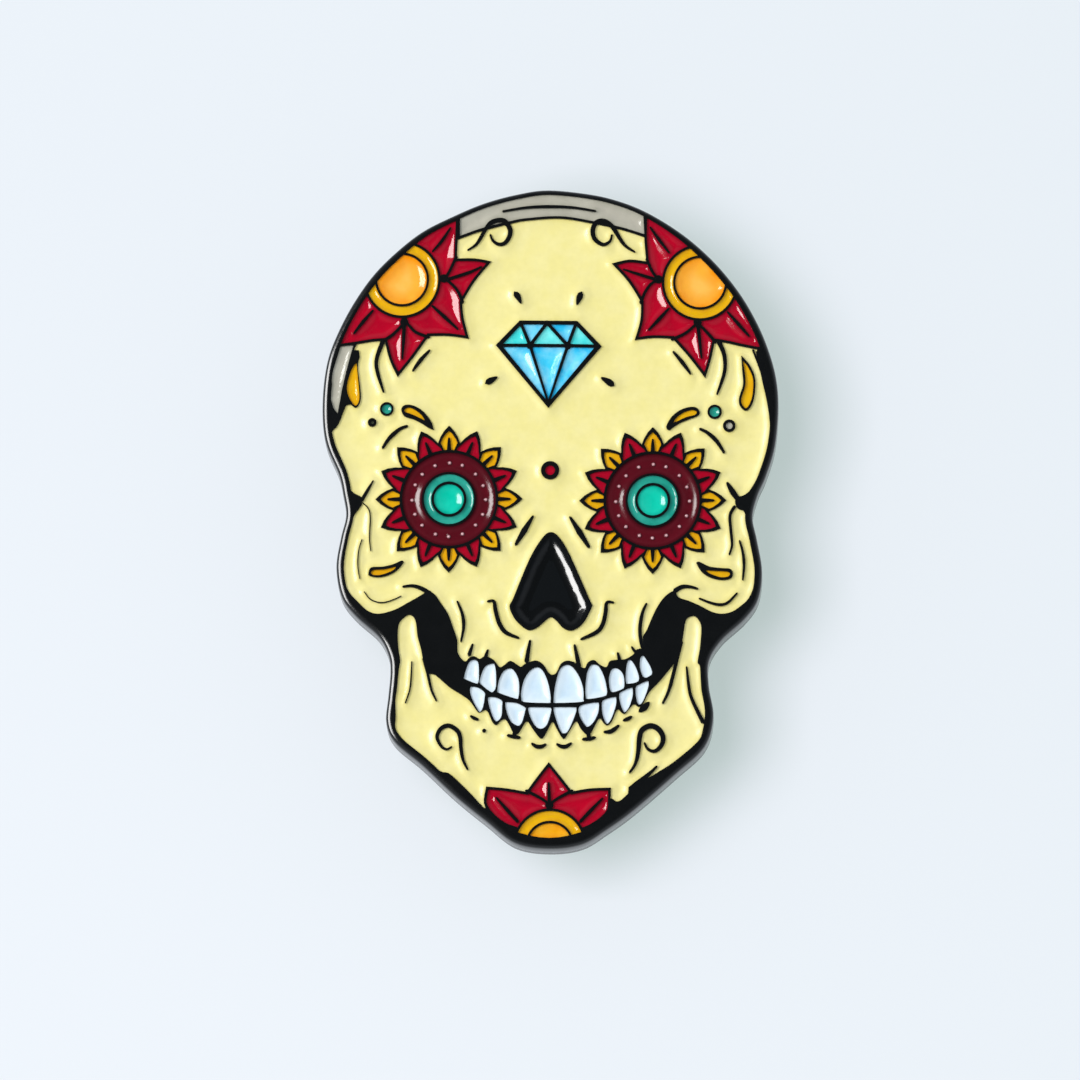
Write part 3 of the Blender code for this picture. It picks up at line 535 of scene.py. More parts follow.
# Eyes.
def eye(side, x, y):
    tip, valley = 73.6, 57.0

    def ray(r, deg):
        a = math.radians(deg)
        return (x + r * math.cos(a), y + r * math.sin(a))

    # Each petal is a pointed kite between two valleys.
    silhouette = []
    for i in range(16):
        deg = i * 22.5
        silhouette += [ray(tip, deg), ray(68.4, deg + 4.2), ray(62.8, deg + 7.9), ray(valley, deg + 11.25)]
        silhouette += [ray(62.8, deg + 14.6), ray(68.4, deg + 18.3)]
    ink(silhouette)
    for i in range(16):
        deg = i * 22.5
        slot = "gold_enamel" if i % 2 == 0 else "crimson_enamel"
        if i % 2 == 0:
            half = [(tip - 5.2, 0), (65.4, 2.9), (60.4, 6.6), (56.8, 8.5), (53, 7.2), (48, 5.4)]
        else:
            half = [(tip - 5.2, 0), (65.4, 2.9), (60.4, 6.6), (56.2, 9.3), (52.5, 12.6), (48, 15.2)]
        shape = [ray(r, deg + a) for r, a in half] + [ray(r, deg - a) for r, a in half[:0:-1]]
        paint((f"eye_{side}_petals", slot), shape)
        pen([ray(49, deg), ray(55, deg), ray(61, deg)], [3.6, 2.8, 1.4])
    ink(circle(x, y, 49.4, 80))
    paint((f"eye_{side}_band", "maroon_enamel"), circle(x, y, 46.8, 72))
    ink(circle(x, y, 27.2, 48))
    paint((f"eye_{side}_ring", "teal_enamel"), circle(x, y, 25, 44))
    ink(circle(x, y, 17.6, 40))
    paint((f"eye_{side}_dome", "teal_enamel"), circle(x, y, 15, 40))
    return [ray(36.9, i * 22.5 + 1.5 * math.sin(2.3 * i)) for i in range(16)]


BUMPS = eye("left", 448.8, 499.6) + eye("right", 652.7, 501.6)

# ---- the outline, its rim and one triangulation of it all ----------------------------------
OUTLINE_POINTS = [
    (548, 188.8), (591.5, 193.4), (620, 200.5), (644, 210.2), (670, 225.2), (694, 243), (718, 266),
    (739.5, 293), (756, 321), (768, 349), (776, 378), (778.4, 408), (775, 447), (766, 477), (757.5, 496.5),
    (752.5, 518), (757, 541), (762, 572), (758, 600.5), (744.5, 620), (721.5, 641), (709, 662), (709, 687),
    (713.5, 717.5), (704.5, 747.5), (675, 775), (635, 809.5), (608, 829), (582.5, 844), (550, 848.2),
    (516, 842.5), (487, 820.7), (456, 795.6), (423, 764.8), (396, 742), (387, 722), (389, 696), (391, 672),
    (389, 655), (379, 636.3), (356.3, 616), (342, 596.5), (336.5, 567), (341, 537), (346, 515), (343, 494),
    (338.5, 474), (326.5, 446), (322.2, 421), (322.6, 388), (327.5, 357), (338.5, 328.5), (353.5, 300.5),
    (372.6, 273.5), (395.6, 250.4), (421.6, 230.2), (451.6, 215), (482.7, 202), (516, 193),
]
cad_outline = ccw([at(*p) for p in closed_curve(OUTLINE_POINTS, 2)])
outline_px = closed_curve(OUTLINE_POINTS, 7)
lo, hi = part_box("badge_plate")
lo, hi = lo / MM, hi / MM
SHIFT_X = (lo.x + hi.x) / 2 - (min(p.x for p in cad_outline) + max(p.x for p in cad_outline)) / 2
SHIFT_Z = (lo.z + hi.z) / 2 - (min(p.y for p in cad_outline) + max(p.y for p in cad_outline)) / 2
FRONT = lo.y  # the raised lines' plane


def place(x, y, w):
    """A drawing point and its height over the plate's back, in the row frame in metres."""
    return ((x + SHIFT_X) * MM, (FRONT + PLATE - w) * MM, (y + SHIFT_Z) * MM)


def offset(loop, d):
    out = []
    for i in range(len(loop)):
        a, b, c = loop[i - 1], loop[i], loop[(i + 1) % len(loop)]
        t1, t2 = (b - a).normalized(), (c - b).normalized()
        n1, n2 = Vector((t1.y, -t1.x)), Vector((t2.y, -t2.x))
        m = (n1 + n2).normalized() if (n1 + n2).length > 1e-6 else n1
        out.append(b + m * (d / max(m.dot(n1), 0.4)))
    return out


OUTLINE = ccw([at(*p) for p in outline_px])
FACE = offset(OUTLINE, -SHOULDER)


def rim_width(p):
    """The rim is narrower over the crown."""
    y = CENTRE[1] - p.y / GRID_Y
    x = CENTRE[0] + p.x / GRID_X
    width = 5.4 + 2.1 * min(max((y - 205) / 50, 0), 1)
    if x < 400 and 380 < y < 500:
        width += 0.8
    return width * GRID_X


RIM_INNER = []
for i, p in enumerate(OUTLINE):
    a, c = OUTLINE[i - 1], OUTLINE[(i + 1) % len(OUTLINE)]
    t = (c - a).normalized()
    RIM_INNER.append(p - Vector((t.y, -t.x)) * rim_width(p))

loops = [FACE, RIM_INNER] + [loop for loop, _ in layers]
kinds = [None, None] + [kind for _, kind in layers]
verts, faces = [], []
for loop in loops:
    faces.append(list(range(len(verts), len(verts) + len(loop))))
    verts += loop
made = delaunay_2d_cdt(verts, [], faces, 1, 1e-5, True)
P1 = [Vector(v) for v in made[0]]
T1, K1 = [], []
for f, found in zip(made[2], made[5]):
    found = set(found)
    if 0 not in found:
        continue
    kind = INK
    if 1 in found:
        top = max((i for i in found if i > 1), default=None)
        if top is not None:
            kind = kinds[top]
    T1.append(tuple(f))
    K1.append(kind)


def tri_area(points, t):
    a, b, c = (points[i] for i in t)
    return 0.5 * ((b.x - a.x) * (c.y - a.y) - (c.x - a.x) * (b.y - a.y))


def groups_of(tris, kinds):
    owner = {}
    for i, t in enumerate(tris):
        for k in range(3):
            owner[(t[k], t[(k + 1) % 3])] = i
    label = [-1] * len(tris)
    count = 0
    for s in range(len(tris)):
        if label[s] >= 0:
            continue
        label[s] = count
        queue = deque([s])
        while queue:
            i = queue.popleft()
            t = tris[i]
            for k in range(3):
                j = owner.get((t[(k + 1) % 3], t[k]))
                if j is not None and label[j] < 0 and kinds[j] == kinds[s]:
                    label[j] = count
                    queue.append(j)
        count += 1
    return label, count, owner


label, count, owner = groups_of(T1, K1)
size = [0.0] * count
for i, t in enumerate(T1):
    size[label[i]] += tri_area(P1, t)
for i in range(len(T1)):
    if K1[i] != INK and size[label[i]] < 0.03:
        K1[i] = INK
label, count, owner = groups_of(T1, K1)
size = [0.0] * count
for i, t in enumerate(T1):
    size[label[i]] += tri_area(P1, t)
# Specks of metal smaller than a pen's dot belong to the enamel round them.
for i, t in enumerate(T1):
    if K1[i] == INK and size[label[i]] < 0.004:
        near = [owner.get((t[(k + 1) % 3], t[k])) for k in range(3)]
        near = [K1[j] for j in near if j is not None and K1[j] != INK]
        if near:
            K1[i] = near[0]
label, count, owner = groups_of(T1, K1)

edge_left = {}
for i, t in enumerate(T1):
    for k in range(3):
        a, b = t[k], t[(k + 1) % 3]
        j = owner.get((b, a))
        if j is None or K1[j] != K1[i]:
            edge_left[(a, b)] = K1[i]

# Walls as points, for the distance of any point to the nearest wall.
walls = []
normals = []
for (a, b), kind in edge_left.items():
    if (b, a) in edge_left and kind == INK:
        continue
    p, q = P1[a], P1[b]
    n = max(1, int(math.ceil((q - p).length / 0.03)))
    for k in range(n):
        walls.append(p.lerp(q, (k + 0.5) / n))
tree = KDTree(len(walls))
for i, p in enumerate(walls):
    tree.insert((p.x, p.y, 0), i)
tree.balance()


def to_wall(p):
    return tree.find((p.x, p.y, 0))[2]


# Points beside the walls, in rows, then coarser ones further in.
extra = []
taken = set()


def put(p, least):
    key = (round(p.x / least), round(p.y / least))
    if any((key[0] + i, key[1] + j) in taken for i in (0,) for j in (0,)):
        return
    taken.add(key)
    extra.append(p)


for (a, b), kind in edge_left.items():
    p, q = P1[a], P1[b]
    t = q - p
    length = t.length
    if length < 1e-4:
        continue
    side = Vector((-t.y, t.x)) / length
    n = max(1, int(round(length / 0.085)))
    for k in range(n):
        m = p.lerp(q, (k + 0.5) / n)
        for row, d in enumerate((0.05, 0.115)):
            s = m + side * d
            if abs(to_wall(s) - d) < 0.012:
                put(s, 0.03)
xs = [p.x for p in FACE]
ys = [p.y for p in FACE]
for spacing, near, far in ((0.15, 0.16, 0.60), (0.36, 0.60, 99.0)):
    rows = int((max(ys) - min(ys)) / (spacing * 0.866)) + 1
    cols = int((max(xs) - min(xs)) / spacing) + 1
    for r in range(rows):
        for c in range(cols):
            p = Vector((min(xs) + (c + 0.5 * (r % 2)) * spacing, min(ys) + r * spacing * 0.866))
            d = to_wall(p)
            if near <= d < far:
                put(p, 0.03)
bump_at = [at(*b) for b in BUMPS]
BUMP_R = 0.155
for b in bump_at:
    extra[:] = extra
    extra.append(b)
    for r, n in ((0.05, 6), (0.10, 10), (0.14, 14), (0.165, 16)):
        for i in range(n):
            extra.append(b + Vector((math.cos(2 * math.pi * i / n), math.sin(2 * math.pi * i / n))) * r)

used = sorted({i for e in edge_left for i in e})
number = {v: i for i, v in enumerate(used)}
edges2 = [(number[a], number[b]) for a, b in edge_left if a < b or (b, a) not in edge_left]
verts2 = [P1[i] for i in used] + extra
made = delaunay_2d_cdt(verts2, edges2, [], 0, 1e-6, True)
P2 = [Vector(v) for v in made[0]]
back = {}
for new, olds in enumerate(made[3]):
    for o in olds:
        if o < len(used):
            back[new] = used[o]
first = {}
for new, old in back.items():
    first[old] = new
T2 = [tuple(f) for f in made[2]]
T2 = [t if tri_area(P2, t) > 0 else t[::-1] for t in T2]
left2 = {}
for (a, b), kind in edge_left.items():
    left2[(first[a], first[b])] = kind
owner2 = {}
for i, t in enumerate(T2):
    for k in range(3):
        owner2[(t[k], t[(k + 1) % 3])] = i
K2 = [None] * len(T2)
queue = deque()
for e, kind in left2.items():
    i = owner2.get(e)
    if i is not None and K2[i] is None:
        K2[i] = kind
        queue.append(i)
while queue:
    i = queue.popleft()
    t = T2[i]
    for k in range(3):
        e = (t[k], t[(k + 1) % 3])
        if e in left2 or (e[1], e[0]) in left2:
            continue
        j = owner2.get((e[1], e[0]))
        if j is not None and K2[j] is None:
            K2[j] = K2[i]
            queue.append(j)

wall_points = set(back)
gap = np.zeros(len(P2))
for i, p in enumerate(P2):
    gap[i] = 0.0 if i in wall_points else to_wall(p)


def metal_height(i):
    t = min(gap[i] / 0.06, 1.0)
    return PLATE - 0.008 * (1 - t) ** 2


# How far the enamel climbs its walls (mm), and over what distance it levels out.
CLIMB = {
    "enamel_nose": (0.30, 0.60), "eye_left_dome": (0.24, 0.50), "eye_right_dome": (0.24, 0.50),
    "eye_left_ring": (0.22, 0.34), "eye_right_ring": (0.22, 0.34),
    "gem_pavilion": (0.24, 0.46), "gem_crown": (0.22, 0.42), "dot_teal_right": (0.22, 0.30), "dot_teal_left": (0.22, 0.30),
}
for flower_side in ("left", "right", "chin"):
    CLIMB[f"flower_{flower_side}_petals"] = (0.24, 0.40)
    CLIMB[f"flower_{flower_side}_ring"] = (0.22, 0.36)
    CLIMB[f"flower_{flower_side}_disc"] = (0.22, 0.44)


def enamel_height(kind, i):
    d = gap[i]
    name, slot = kind
    climb, reach = CLIMB.get(name, (0.20, 0.46))
    h = 1.88 - climb + climb * math.exp(-((d / reach) ** 1.7))
    if name.endswith("band"):
        r = min((P2[i] - b).length for b in bump_at)
        if r < BUMP_R:
            h += 0.13 * math.sqrt(max(0.0, 1 - (r / BUMP_R) ** 2))
    return h


# ---- meshes --------------------------------------------------------------------------------
class Shape:
    def __init__(self):
        self.verts, self.faces, self.index, self.depth, self.painted_dot_highlight = [], [], {}, [], []

    def v(self, key, x, y, w, depth=0.0, painted_dot_highlight=0.0):
        if key not in self.index:
            self.index[key] = len(self.verts)
            self.verts.append(place(x, y, w))
            self.depth.append(depth)
            self.painted_dot_highlight.append(painted_dot_highlight)
        return self.index[key]

    def build(self, name, smooth=40):
        mesh = bpy.data.meshes.new(name)
        mesh.from_pydata(self.verts, [], self.faces)
        attribute = mesh.attributes.new("wall", "FLOAT", "POINT")
        attribute.data.foreach_set("value", np.array(self.depth, np.float32))
        attribute = mesh.attributes.new("painted_dot_highlight", "FLOAT", "POINT")
        attribute.data.foreach_set("value", np.array(self.painted_dot_highlight, np.float32))
        obj = bpy.data.objects.new(name, mesh)
        bpy.context.scene.collection.objects.link(obj)
        mesh.shade_smooth()
        mesh.set_sharp_from_angle(angle=math.radians(smooth))
        return obj


shapes = {}
for i, t in enumerate(T2):
    kind = K2[i]
    if kind is None:
        continue
    s = shapes.setdefault(kind, Shape())
    ids = []
    for j in t:
        p = P2[j]
        h = metal_height(j) if kind == INK else enamel_height(kind, j)
        key = ("w", back[j]) if j in back else ("t", j)
        # painted highlight: a pale mask at the centres of the eye bands' bumps
        painted_dot_highlight = 0.0
        if kind[0].endswith("band"):
            r = min((p - b).length for b in bump_at)
            painted_dot_highlight = max(0.0, min(1.0, (BUMP_R * 0.75 - r) / (BUMP_R * 0.4)))
        ids.append(s.v((*key, "top"), p.x, p.y, h, float(gap[j]), painted_dot_highlight))
    s.faces.append(tuple(ids))
LOW = {INK: FLOOR}
for i, t in enumerate(T1):
    kind = K1[i]
    if kind == INK:
        continue
    # enamel underside, and the pool's floor in the plate
    s = shapes.get(kind)
    if s is not None:
        ids = [s.v(("w", j, "low"), P1[j].x, P1[j].y, FLOOR + 0.012) for j in t]
        s.faces.append(tuple(ids[::-1]))
    s = shapes[INK]
    s.faces.append(tuple(s.v(("w", j, "floor"), P1[j].x, P1[j].y, FLOOR) for j in t))
rim_edges = {}
for (a, b), kind in edge_left.items():
    pa, pb = P1[a], P1[b]
    if kind != INK:
        s = shapes[kind]
        at_, bt = s.index.get(("w", a, "top")), s.index.get(("w", b, "top"))
        al, bl = s.index.get(("w", a, "low")), s.index.get(("w", b, "low"))
        if None not in (at_, bt, al, bl):
            s.faces.append((at_, al, bl, bt))
        if edge_left.get((b, a)) == INK:
            s = shapes[INK]
            at_, bt = s.index.get(("w", a, "top")), s.index.get(("w", b, "top"))
            al, bl = s.index.get(("w", a, "floor")), s.index.get(("w", b, "floor"))
            if None not in (at_, bt, al, bl):
                s.faces.append((at_, bt, bl, al))
    elif (b, a) not in edge_left:
        rim_edges[a] = b
s = shapes[INK]
start = min(rim_edges)
ring, here = [start], rim_edges[start]
while here != start:
    ring.append(here)
    here = rim_edges[here]
# Rounded shoulder, straight side wall, and the back's small edge.
flat = [P1[i] for i in ring]
rings = [[s.v(("w", i, "top"), P1[i].x, P1[i].y, PLATE) for i in ring]]
for i in rings[0]:
    x, y, z = s.verts[i]
    s.verts[i] = (x, (FRONT + 0.02) * MM, z)
profile = [(SHOULDER * math.sin(math.radians(a)), PLATE - 0.02 - (SHOULDER - 0.02) * (1 - math.cos(math.radians(a)))) for a in (22, 45, 67, 90)]
profile += [(SHOULDER, 1.1), (SHOULDER, 0.16), (SHOULDER - 0.05, 0.05), (SHOULDER - 0.16, 0.0)]
for k, (grow, w) in enumerate(profile):
    moved = offset(flat, grow)
    rings.append([s.v(("r", k, i), p.x, p.y, w) for i, p in zip(ring, moved)])
n = len(ring)
for upper, lower in zip(rings, rings[1:]):
    for i in range(n):
        j = (i + 1) % n
        s.faces.append((upper[i], lower[i], lower[j], upper[j]))
base_loop = offset(flat, profile[-1][0])
# The back: a fine mesh, so that its faint hammering shows.
back_points = []
for r in range(90):
    for c in range(60):
        p = Vector((min(xs) + (c + 0.5 * (r % 2)) * 0.55, min(ys) + r * 0.5))
        back_points.append(p)
made = delaunay_2d_cdt(list(base_loop) + back_points, [], [list(range(n))], 1, 1e-6, True)
for t, found in zip(made[2], made[5]):
    if not found:
        continue
    ids = []
    for j in t:
        olds = [o for o in made[3][j] if o < n]
        if olds:
            ids.append(rings[-1][olds[0]])
        else:
            p = made[0][j]
            ids.append(s.v(("b", j), p[0], p[1], 0.0))
    s.faces.append(tuple(ids[::-1]))


# ---- materials -----------------------------------------------------------------------------
def srgb(r, g, b):
    def one(c):
        c = c / 255
        return c / 12.92 if c <= 0.04045 else ((c + 0.055) / 1.055) ** 2.4

    return (one(r), one(g), one(b), 1.0)


def new_material(name):
    mat = bpy.data.materials.new(name)
    mat.use_nodes = True
    nodes, links = mat.node_tree.nodes, mat.node_tree.links
    shader = nodes["Principled BSDF"]
    return mat, nodes, links, shader


def mix(nodes, links, a, b, factor, mode="MIX"):
    node = nodes.new("ShaderNodeMix")
    node.data_type = "RGBA"
    node.blend_type = mode
    for socket, value in ((node.inputs[0], factor), (node.inputs[6], a), (node.inputs[7], b)):
        if hasattr(value, "links"):
            links.new(value, socket)
        else:
            socket.default_value = value
    return node.outputs[2]


def noise(nodes, links, scale, detail=2.0, rough=0.5):
    coord = nodes.new("ShaderNodeTexCoord")
    node = nodes.new("ShaderNodeTexNoise")
    node.inputs["Scale"].default_value = scale
    node.inputs["Detail"].default_value = detail
    node.inputs["Roughness"].default_value = rough
    links.new(coord.outputs["Object"], node.inputs["Vector"])
    return node.outputs["Fac"]


def ramp(nodes, links, source, low, high):
    node = nodes.new("ShaderNodeMapRange")
    node.inputs["From Min"].default_value = low
    node.inputs["From Max"].default_value = high
    node.clamp = True
    links.new(source, node.inputs["Value"])
    return node.outputs["Result"]


def bump(nodes, links, shader, height, strength, distance):
    node = nodes.new("ShaderNodeBump")
    node.inputs["Strength"].default_value = strength
    node.inputs["Distance"].default_value = distance
    links.new(height, node.inputs["Height"])
    links.new(node.outputs["Normal"], shader.inputs["Normal"])


def enamel_material(name, edge, middle, patch=None, depth=(0.05, 0.35), rough=0.12, patch_scale=900, dot_highlight_colour=None):
    """Cured enamel: its colour runs from the edge colour at the walls to the middle colour further in. This is painted
    shade that darkens most enamels at their walls, and painted reflection that lightens the white and black ones
    there. It also has faint clouding and a wavy gloss.
    """
    mat, nodes, links, shader = new_material(name)
    attr = nodes.new("ShaderNodeAttribute")
    attr.attribute_name = "wall"
    # painted shade: the edge colour near the walls, darker on most enamels and lighter on the white and black ones as
    # a painted reflection
    colour = mix(nodes, links, edge, middle, ramp(nodes, links, attr.outputs["Fac"], *depth))
    cloud = ramp(nodes, links, noise(nodes, links, patch_scale, 3), 0.35, 0.75)
    if patch:
        colour = mix(nodes, links, colour, patch, cloud)
    fine = ramp(nodes, links, noise(nodes, links, 2600, 2), 0.3, 0.7)
    shade = mix(nodes, links, (0.965, 0.965, 0.965, 1), (1, 1, 1, 1), fine)
    colour = mix(nodes, links, colour, shade, 1.0, "MULTIPLY")
    # painted highlight: pale pink mixed in at the bump centres
    if dot_highlight_colour:
        attr = nodes.new("ShaderNodeAttribute")
        attr.attribute_name = "painted_dot_highlight"
        colour = mix(nodes, links, colour, dot_highlight_colour, attr.outputs["Fac"])
    links.new(colour, shader.inputs["Base Color"])
    shader.inputs["Roughness"].default_value = rough
    shader.inputs["IOR"].default_value = 1.5
    shader.inputs["Coat Weight"].default_value = 0.15
    shader.inputs["Coat Roughness"].default_value = 0.06
    bump(nodes, links, shader, noise(nodes, links, 520, 2), 0.25, 0.0001)
    return mat


def metal_material(name, colour, dark, rough, metallic=1.0, scale=1500, strength=0.15):
    mat, nodes, links, shader = new_material(name)
    cloud = ramp(nodes, links, noise(nodes, links, scale, 4, 0.6), 0.3, 0.7)
    links.new(mix(nodes, links, colour, dark, cloud), shader.inputs["Base Color"])
    shader.inputs["Metallic"].default_value = metallic
    node = nodes.new("ShaderNodeMapRange")
    node.inputs["To Min"].default_value = rough * 0.8
    node.inputs["To Max"].default_value = rough * 1.3
    links.new(noise(nodes, links, scale * 0.6, 3), node.inputs["Value"])
    links.new(node.outputs["Result"], shader.inputs["Roughness"])
    bump(nodes, links, shader, noise(nodes, links, scale * 1.5, 3), strength, 0.00005)
    return mat


# per enamel: colour at the walls (painted shade, or painted reflection on white and black), colour in the middle,
# colour of the clouds
ENAMELS = {
    "bone_enamel": enamel_material("bone_enamel", srgb(232, 218, 132), srgb(239, 227, 148), srgb(242, 231, 160), (0.0, 0.3), 0.22),
    "black_enamel": enamel_material("black_enamel", srgb(12, 15, 17), srgb(7, 9, 10), None, (0.05, 0.6), 0.1),
    "beige_enamel": enamel_material("beige_enamel", srgb(168, 165, 148), srgb(180, 175, 160), srgb(188, 184, 168)),
    "white_enamel": enamel_material("white_enamel", srgb(232, 244, 250), srgb(206, 228, 243), srgb(226, 240, 249), (0.1, 0.55)),
    "aqua_enamel": enamel_material("aqua_enamel", srgb(56, 212, 214), srgb(72, 228, 226), srgb(132, 239, 236)),
    # the blue's pale cloud colour is random clouding that is partly a painted highlight, the facets' whitish glow
    "blue_enamel": enamel_material("blue_enamel", srgb(30, 180, 232), srgb(62, 206, 246), srgb(160, 234, 252)),
    "crimson_enamel": enamel_material("crimson_enamel", srgb(150, 2, 32), srgb(184, 0, 36), srgb(168, 0, 34), (0.0, 0.3)),
    "gold_enamel": enamel_material("gold_enamel", srgb(226, 160, 6), srgb(232, 176, 4), srgb(235, 182, 14)),
    "orange_enamel": enamel_material("orange_enamel", srgb(250, 148, 2), srgb(253, 189, 84), srgb(253, 176, 52), (0.15, 1.1)),
    "sun_enamel": enamel_material("sun_enamel", srgb(238, 150, 4), srgb(246, 178, 20), srgb(250, 186, 40), (0.1, 0.7)),
    "grey_enamel": enamel_material("grey_enamel", srgb(70, 76, 60), srgb(104, 108, 88), srgb(90, 96, 78)),
    # the maroon's pale pink dot colour is a painted highlight on the bumps
    "maroon_enamel": enamel_material("maroon_enamel", srgb(60, 6, 16), srgb(92, 12, 26), srgb(80, 10, 22), (0.0, 0.25), dot_highlight_colour=srgb(214, 168, 172)),
    "teal_enamel": enamel_material("teal_enamel", srgb(22, 140, 122), srgb(34, 160, 140), srgb(54, 174, 154)),
    "green_enamel": enamel_material("green_enamel", srgb(0, 170, 146), srgb(0, 195, 165), srgb(24, 207, 178)),
}
ENAMELS["black_enamel"].node_tree.nodes["Principled BSDF"].inputs["Specular IOR Level"].default_value = 0.9
BLACK_NICKEL = metal_material("black_nickel", srgb(11, 13, 14), srgb(7, 9, 10), 0.16, 0.0, 1200, 0.06)
BLACK_NICKEL.node_tree.nodes["Principled BSDF"].inputs["Specular IOR Level"].default_value = 0.85
NICKEL = metal_material("clutch_nickel", srgb(208, 207, 204), srgb(194, 193, 190), 0.2, 1.0, 500, 0.05)
STEEL = metal_material("post_steel", srgb(196, 196, 196), srgb(168, 168, 170), 0.26, 1.0, 900, 0.1)

built = {}
for kind, shape in shapes.items():
    name, slot = kind
    if kind == INK:
        obj = shape.build("struck_plate", 50)
        obj.data.materials.append(BLACK_NICKEL)
    else:
        many = len([k for k in shapes if k[0] == name]) > 1
        obj = shape.build("pool_" + name + ("_" + slot.split("_")[0] if many else ""), 60)
        look = slot
        if name.endswith("dome"):
            look = "green_enamel"
        elif name == "flower_chin_disc":
            look = "sun_enamel"
        elif name == "dot_cream_right":
            look = "beige_enamel"
        elif name == "dot_dark_left":
            look = "grey_enamel"
        obj.data.materials.append(ENAMELS[look])
    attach(obj, "badge")
    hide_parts(name)
    built[obj.name] = obj

# ---- hardware ------------------------------------------------------------------------------
POST_AT = {"upper": (0.0, 11.5), "lower": (0.0, -11.5)}
POST_R, POST_LENGTH, TIP, NECK_R, PAD_R, PAD_H = 0.55, 8.0, 1.6, 0.42, 2.2, 0.40
BASE_R, BASE_HOLE, BASE_T, CLUTCH_TOP = 5.6, 0.62, 0.30, 0.60
SHELL_R, WALL, SHELL_H = 3.9, 0.35, 4.0
WINDOW = (1.9, 1.0, 2.9)
WING_R, WING_T, WING_HALF = 5.3, 0.40, 38.0
ARM_T, ARM_H = 0.55, 1.3


def solid(name, verts, faces, at_post, body, node, mat, smooth=35, bevel=0.0, thickness=0.0):
    """A closed piece drawn round its post's axis: (across, up, height), millimetres."""
    x0, z0 = POST_AT[at_post]
    mesh = bpy.data.meshes.new(name)
    mesh.from_pydata([place(x0 + x, z0 + y, w) for x, y, w in verts], [], faces)
    mesh.validate()
    work = bmesh.new()
    work.from_mesh(mesh)
    bmesh.ops.remove_doubles(work, verts=work.verts, dist=1e-7)
    bmesh.ops.recalc_face_normals(work, faces=work.faces)
    work.to_mesh(mesh)
    work.free()
    obj = bpy.data.objects.new(name, mesh)
    bpy.context.scene.collection.objects.link(obj)
    if thickness:
        skin = obj.modifiers.new("skin", "SOLIDIFY")
        skin.thickness, skin.offset, skin.use_even_offset = thickness * MM, -1, True
    if bevel:
        edge = obj.modifiers.new("edge", "BEVEL")
        edge.width, edge.segments, edge.limit_method = bevel * MM, 2, "ANGLE"
        edge.angle_limit = math.radians(40)
    if thickness or bevel:
        graph = bpy.context.evaluated_depsgraph_get()
        done = bpy.data.meshes.new_from_object(obj.evaluated_get(graph))
        obj.modifiers.clear()
        obj.data = done
    obj.data.shade_smooth()
    obj.data.set_sharp_from_angle(angle=math.radians(smooth))
    obj.data.materials.clear()
    obj.data.materials.append(mat)
    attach(obj, body)
    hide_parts(node)
    return obj


def lathe(profile, n, wave=None):
    """Turned about the post. A radius of 0 closes it; wave(radius, angle, height) shifts a height."""
    verts, rows, faces = [], [], []
    for r, h in profile:
        if r == 0:
            rows.append([len(verts)])
            verts.append((0.0, 0.0, h))
            continue
        rows.append(list(range(len(verts), len(verts) + n)))
        for i in range(n):
            a = 2 * math.pi * i / n
            verts.append((r * math.cos(a), r * math.sin(a), h + (wave(r, a, h) if wave else 0.0)))
    pairs = list(zip(rows, rows[1:])) + ([(rows[-1], rows[0])] if profile[0][0] != 0 else [])
    for a, b in pairs:
        for i in range(n):
            j = (i + 1) % n
            if len(a) == 1:
                faces.append((a[0], b[j], b[i]))
            elif len(b) == 1:
                faces.append((a[i], a[j], b[0]))
            else:
                faces.append((a[i], a[j], b[j], b[i]))
    return verts, faces


def rounded(points, r, n=4):
    """The profile with each inner corner rounded by r."""
    out = [points[0]]
    for a, b, c in zip(points, points[1:], points[2:]):
        va, vb, vc = Vector(a), Vector(b), Vector(c)
        d1, d2 = va - vb, vc - vb
        k = min(r, d1.length * 0.45, d2.length * 0.45)
        p, q = vb + d1.normalized() * k, vb + d2.normalized() * k
        for i in range(n + 1):
            t = i / n
            out.append(tuple(p * (1 - t) ** 2 + vb * 2 * t * (1 - t) + q * t * t))
    return out + [points[-1]]


def prism(loop, low, top):
    n = len(loop)
    verts = [(x, y, low) for x, y in loop] + [(x, y, top) for x, y in loop]
    made = delaunay_2d_cdt([Vector(p) for p in loop], [], [list(range(n)) if area([Vector(p) for p in loop]) > 0 else list(range(n))[::-1]], 1, 1e-7, True)
    faces = []
    for t, found in zip(made[2], made[5]):
        if found:
            ids = [made[3][j][0] for j in t]
            faces.append(tuple(ids[::-1]))
            faces.append(tuple(i + n for i in ids))
    faces += [(i, (i + 1) % n, (i + 1) % n + n, i + n) for i in range(n)]
    return verts, faces


def merged(one, two):
    """Two closed bodies made one with an exact union, as vertices and faces."""
    objs = []
    for verts, faces in (one, two):
        mesh = bpy.data.meshes.new("part")
        mesh.from_pydata(verts, [], faces)
        work = bmesh.new()
        work.from_mesh(mesh)
        bmesh.ops.recalc_face_normals(work, faces=work.faces)
        work.to_mesh(mesh)
        work.free()
        obj = bpy.data.objects.new("part", mesh)
        bpy.context.scene.collection.objects.link(obj)
        objs.append(obj)
    join = objs[0].modifiers.new("join", "BOOLEAN")
    join.operation, join.solver, join.object = "UNION", "EXACT", objs[1]
    bpy.context.view_layer.update()
    graph = bpy.context.evaluated_depsgraph_get()
    mesh = bpy.data.meshes.new_from_object(objs[0].evaluated_get(graph))
    verts = [tuple(v.co) for v in mesh.vertices]
    faces = [tuple(f.vertices) for f in mesh.polygons]
    for obj in objs:
        bpy.data.objects.remove(obj, do_unlink=True)
    return verts, faces


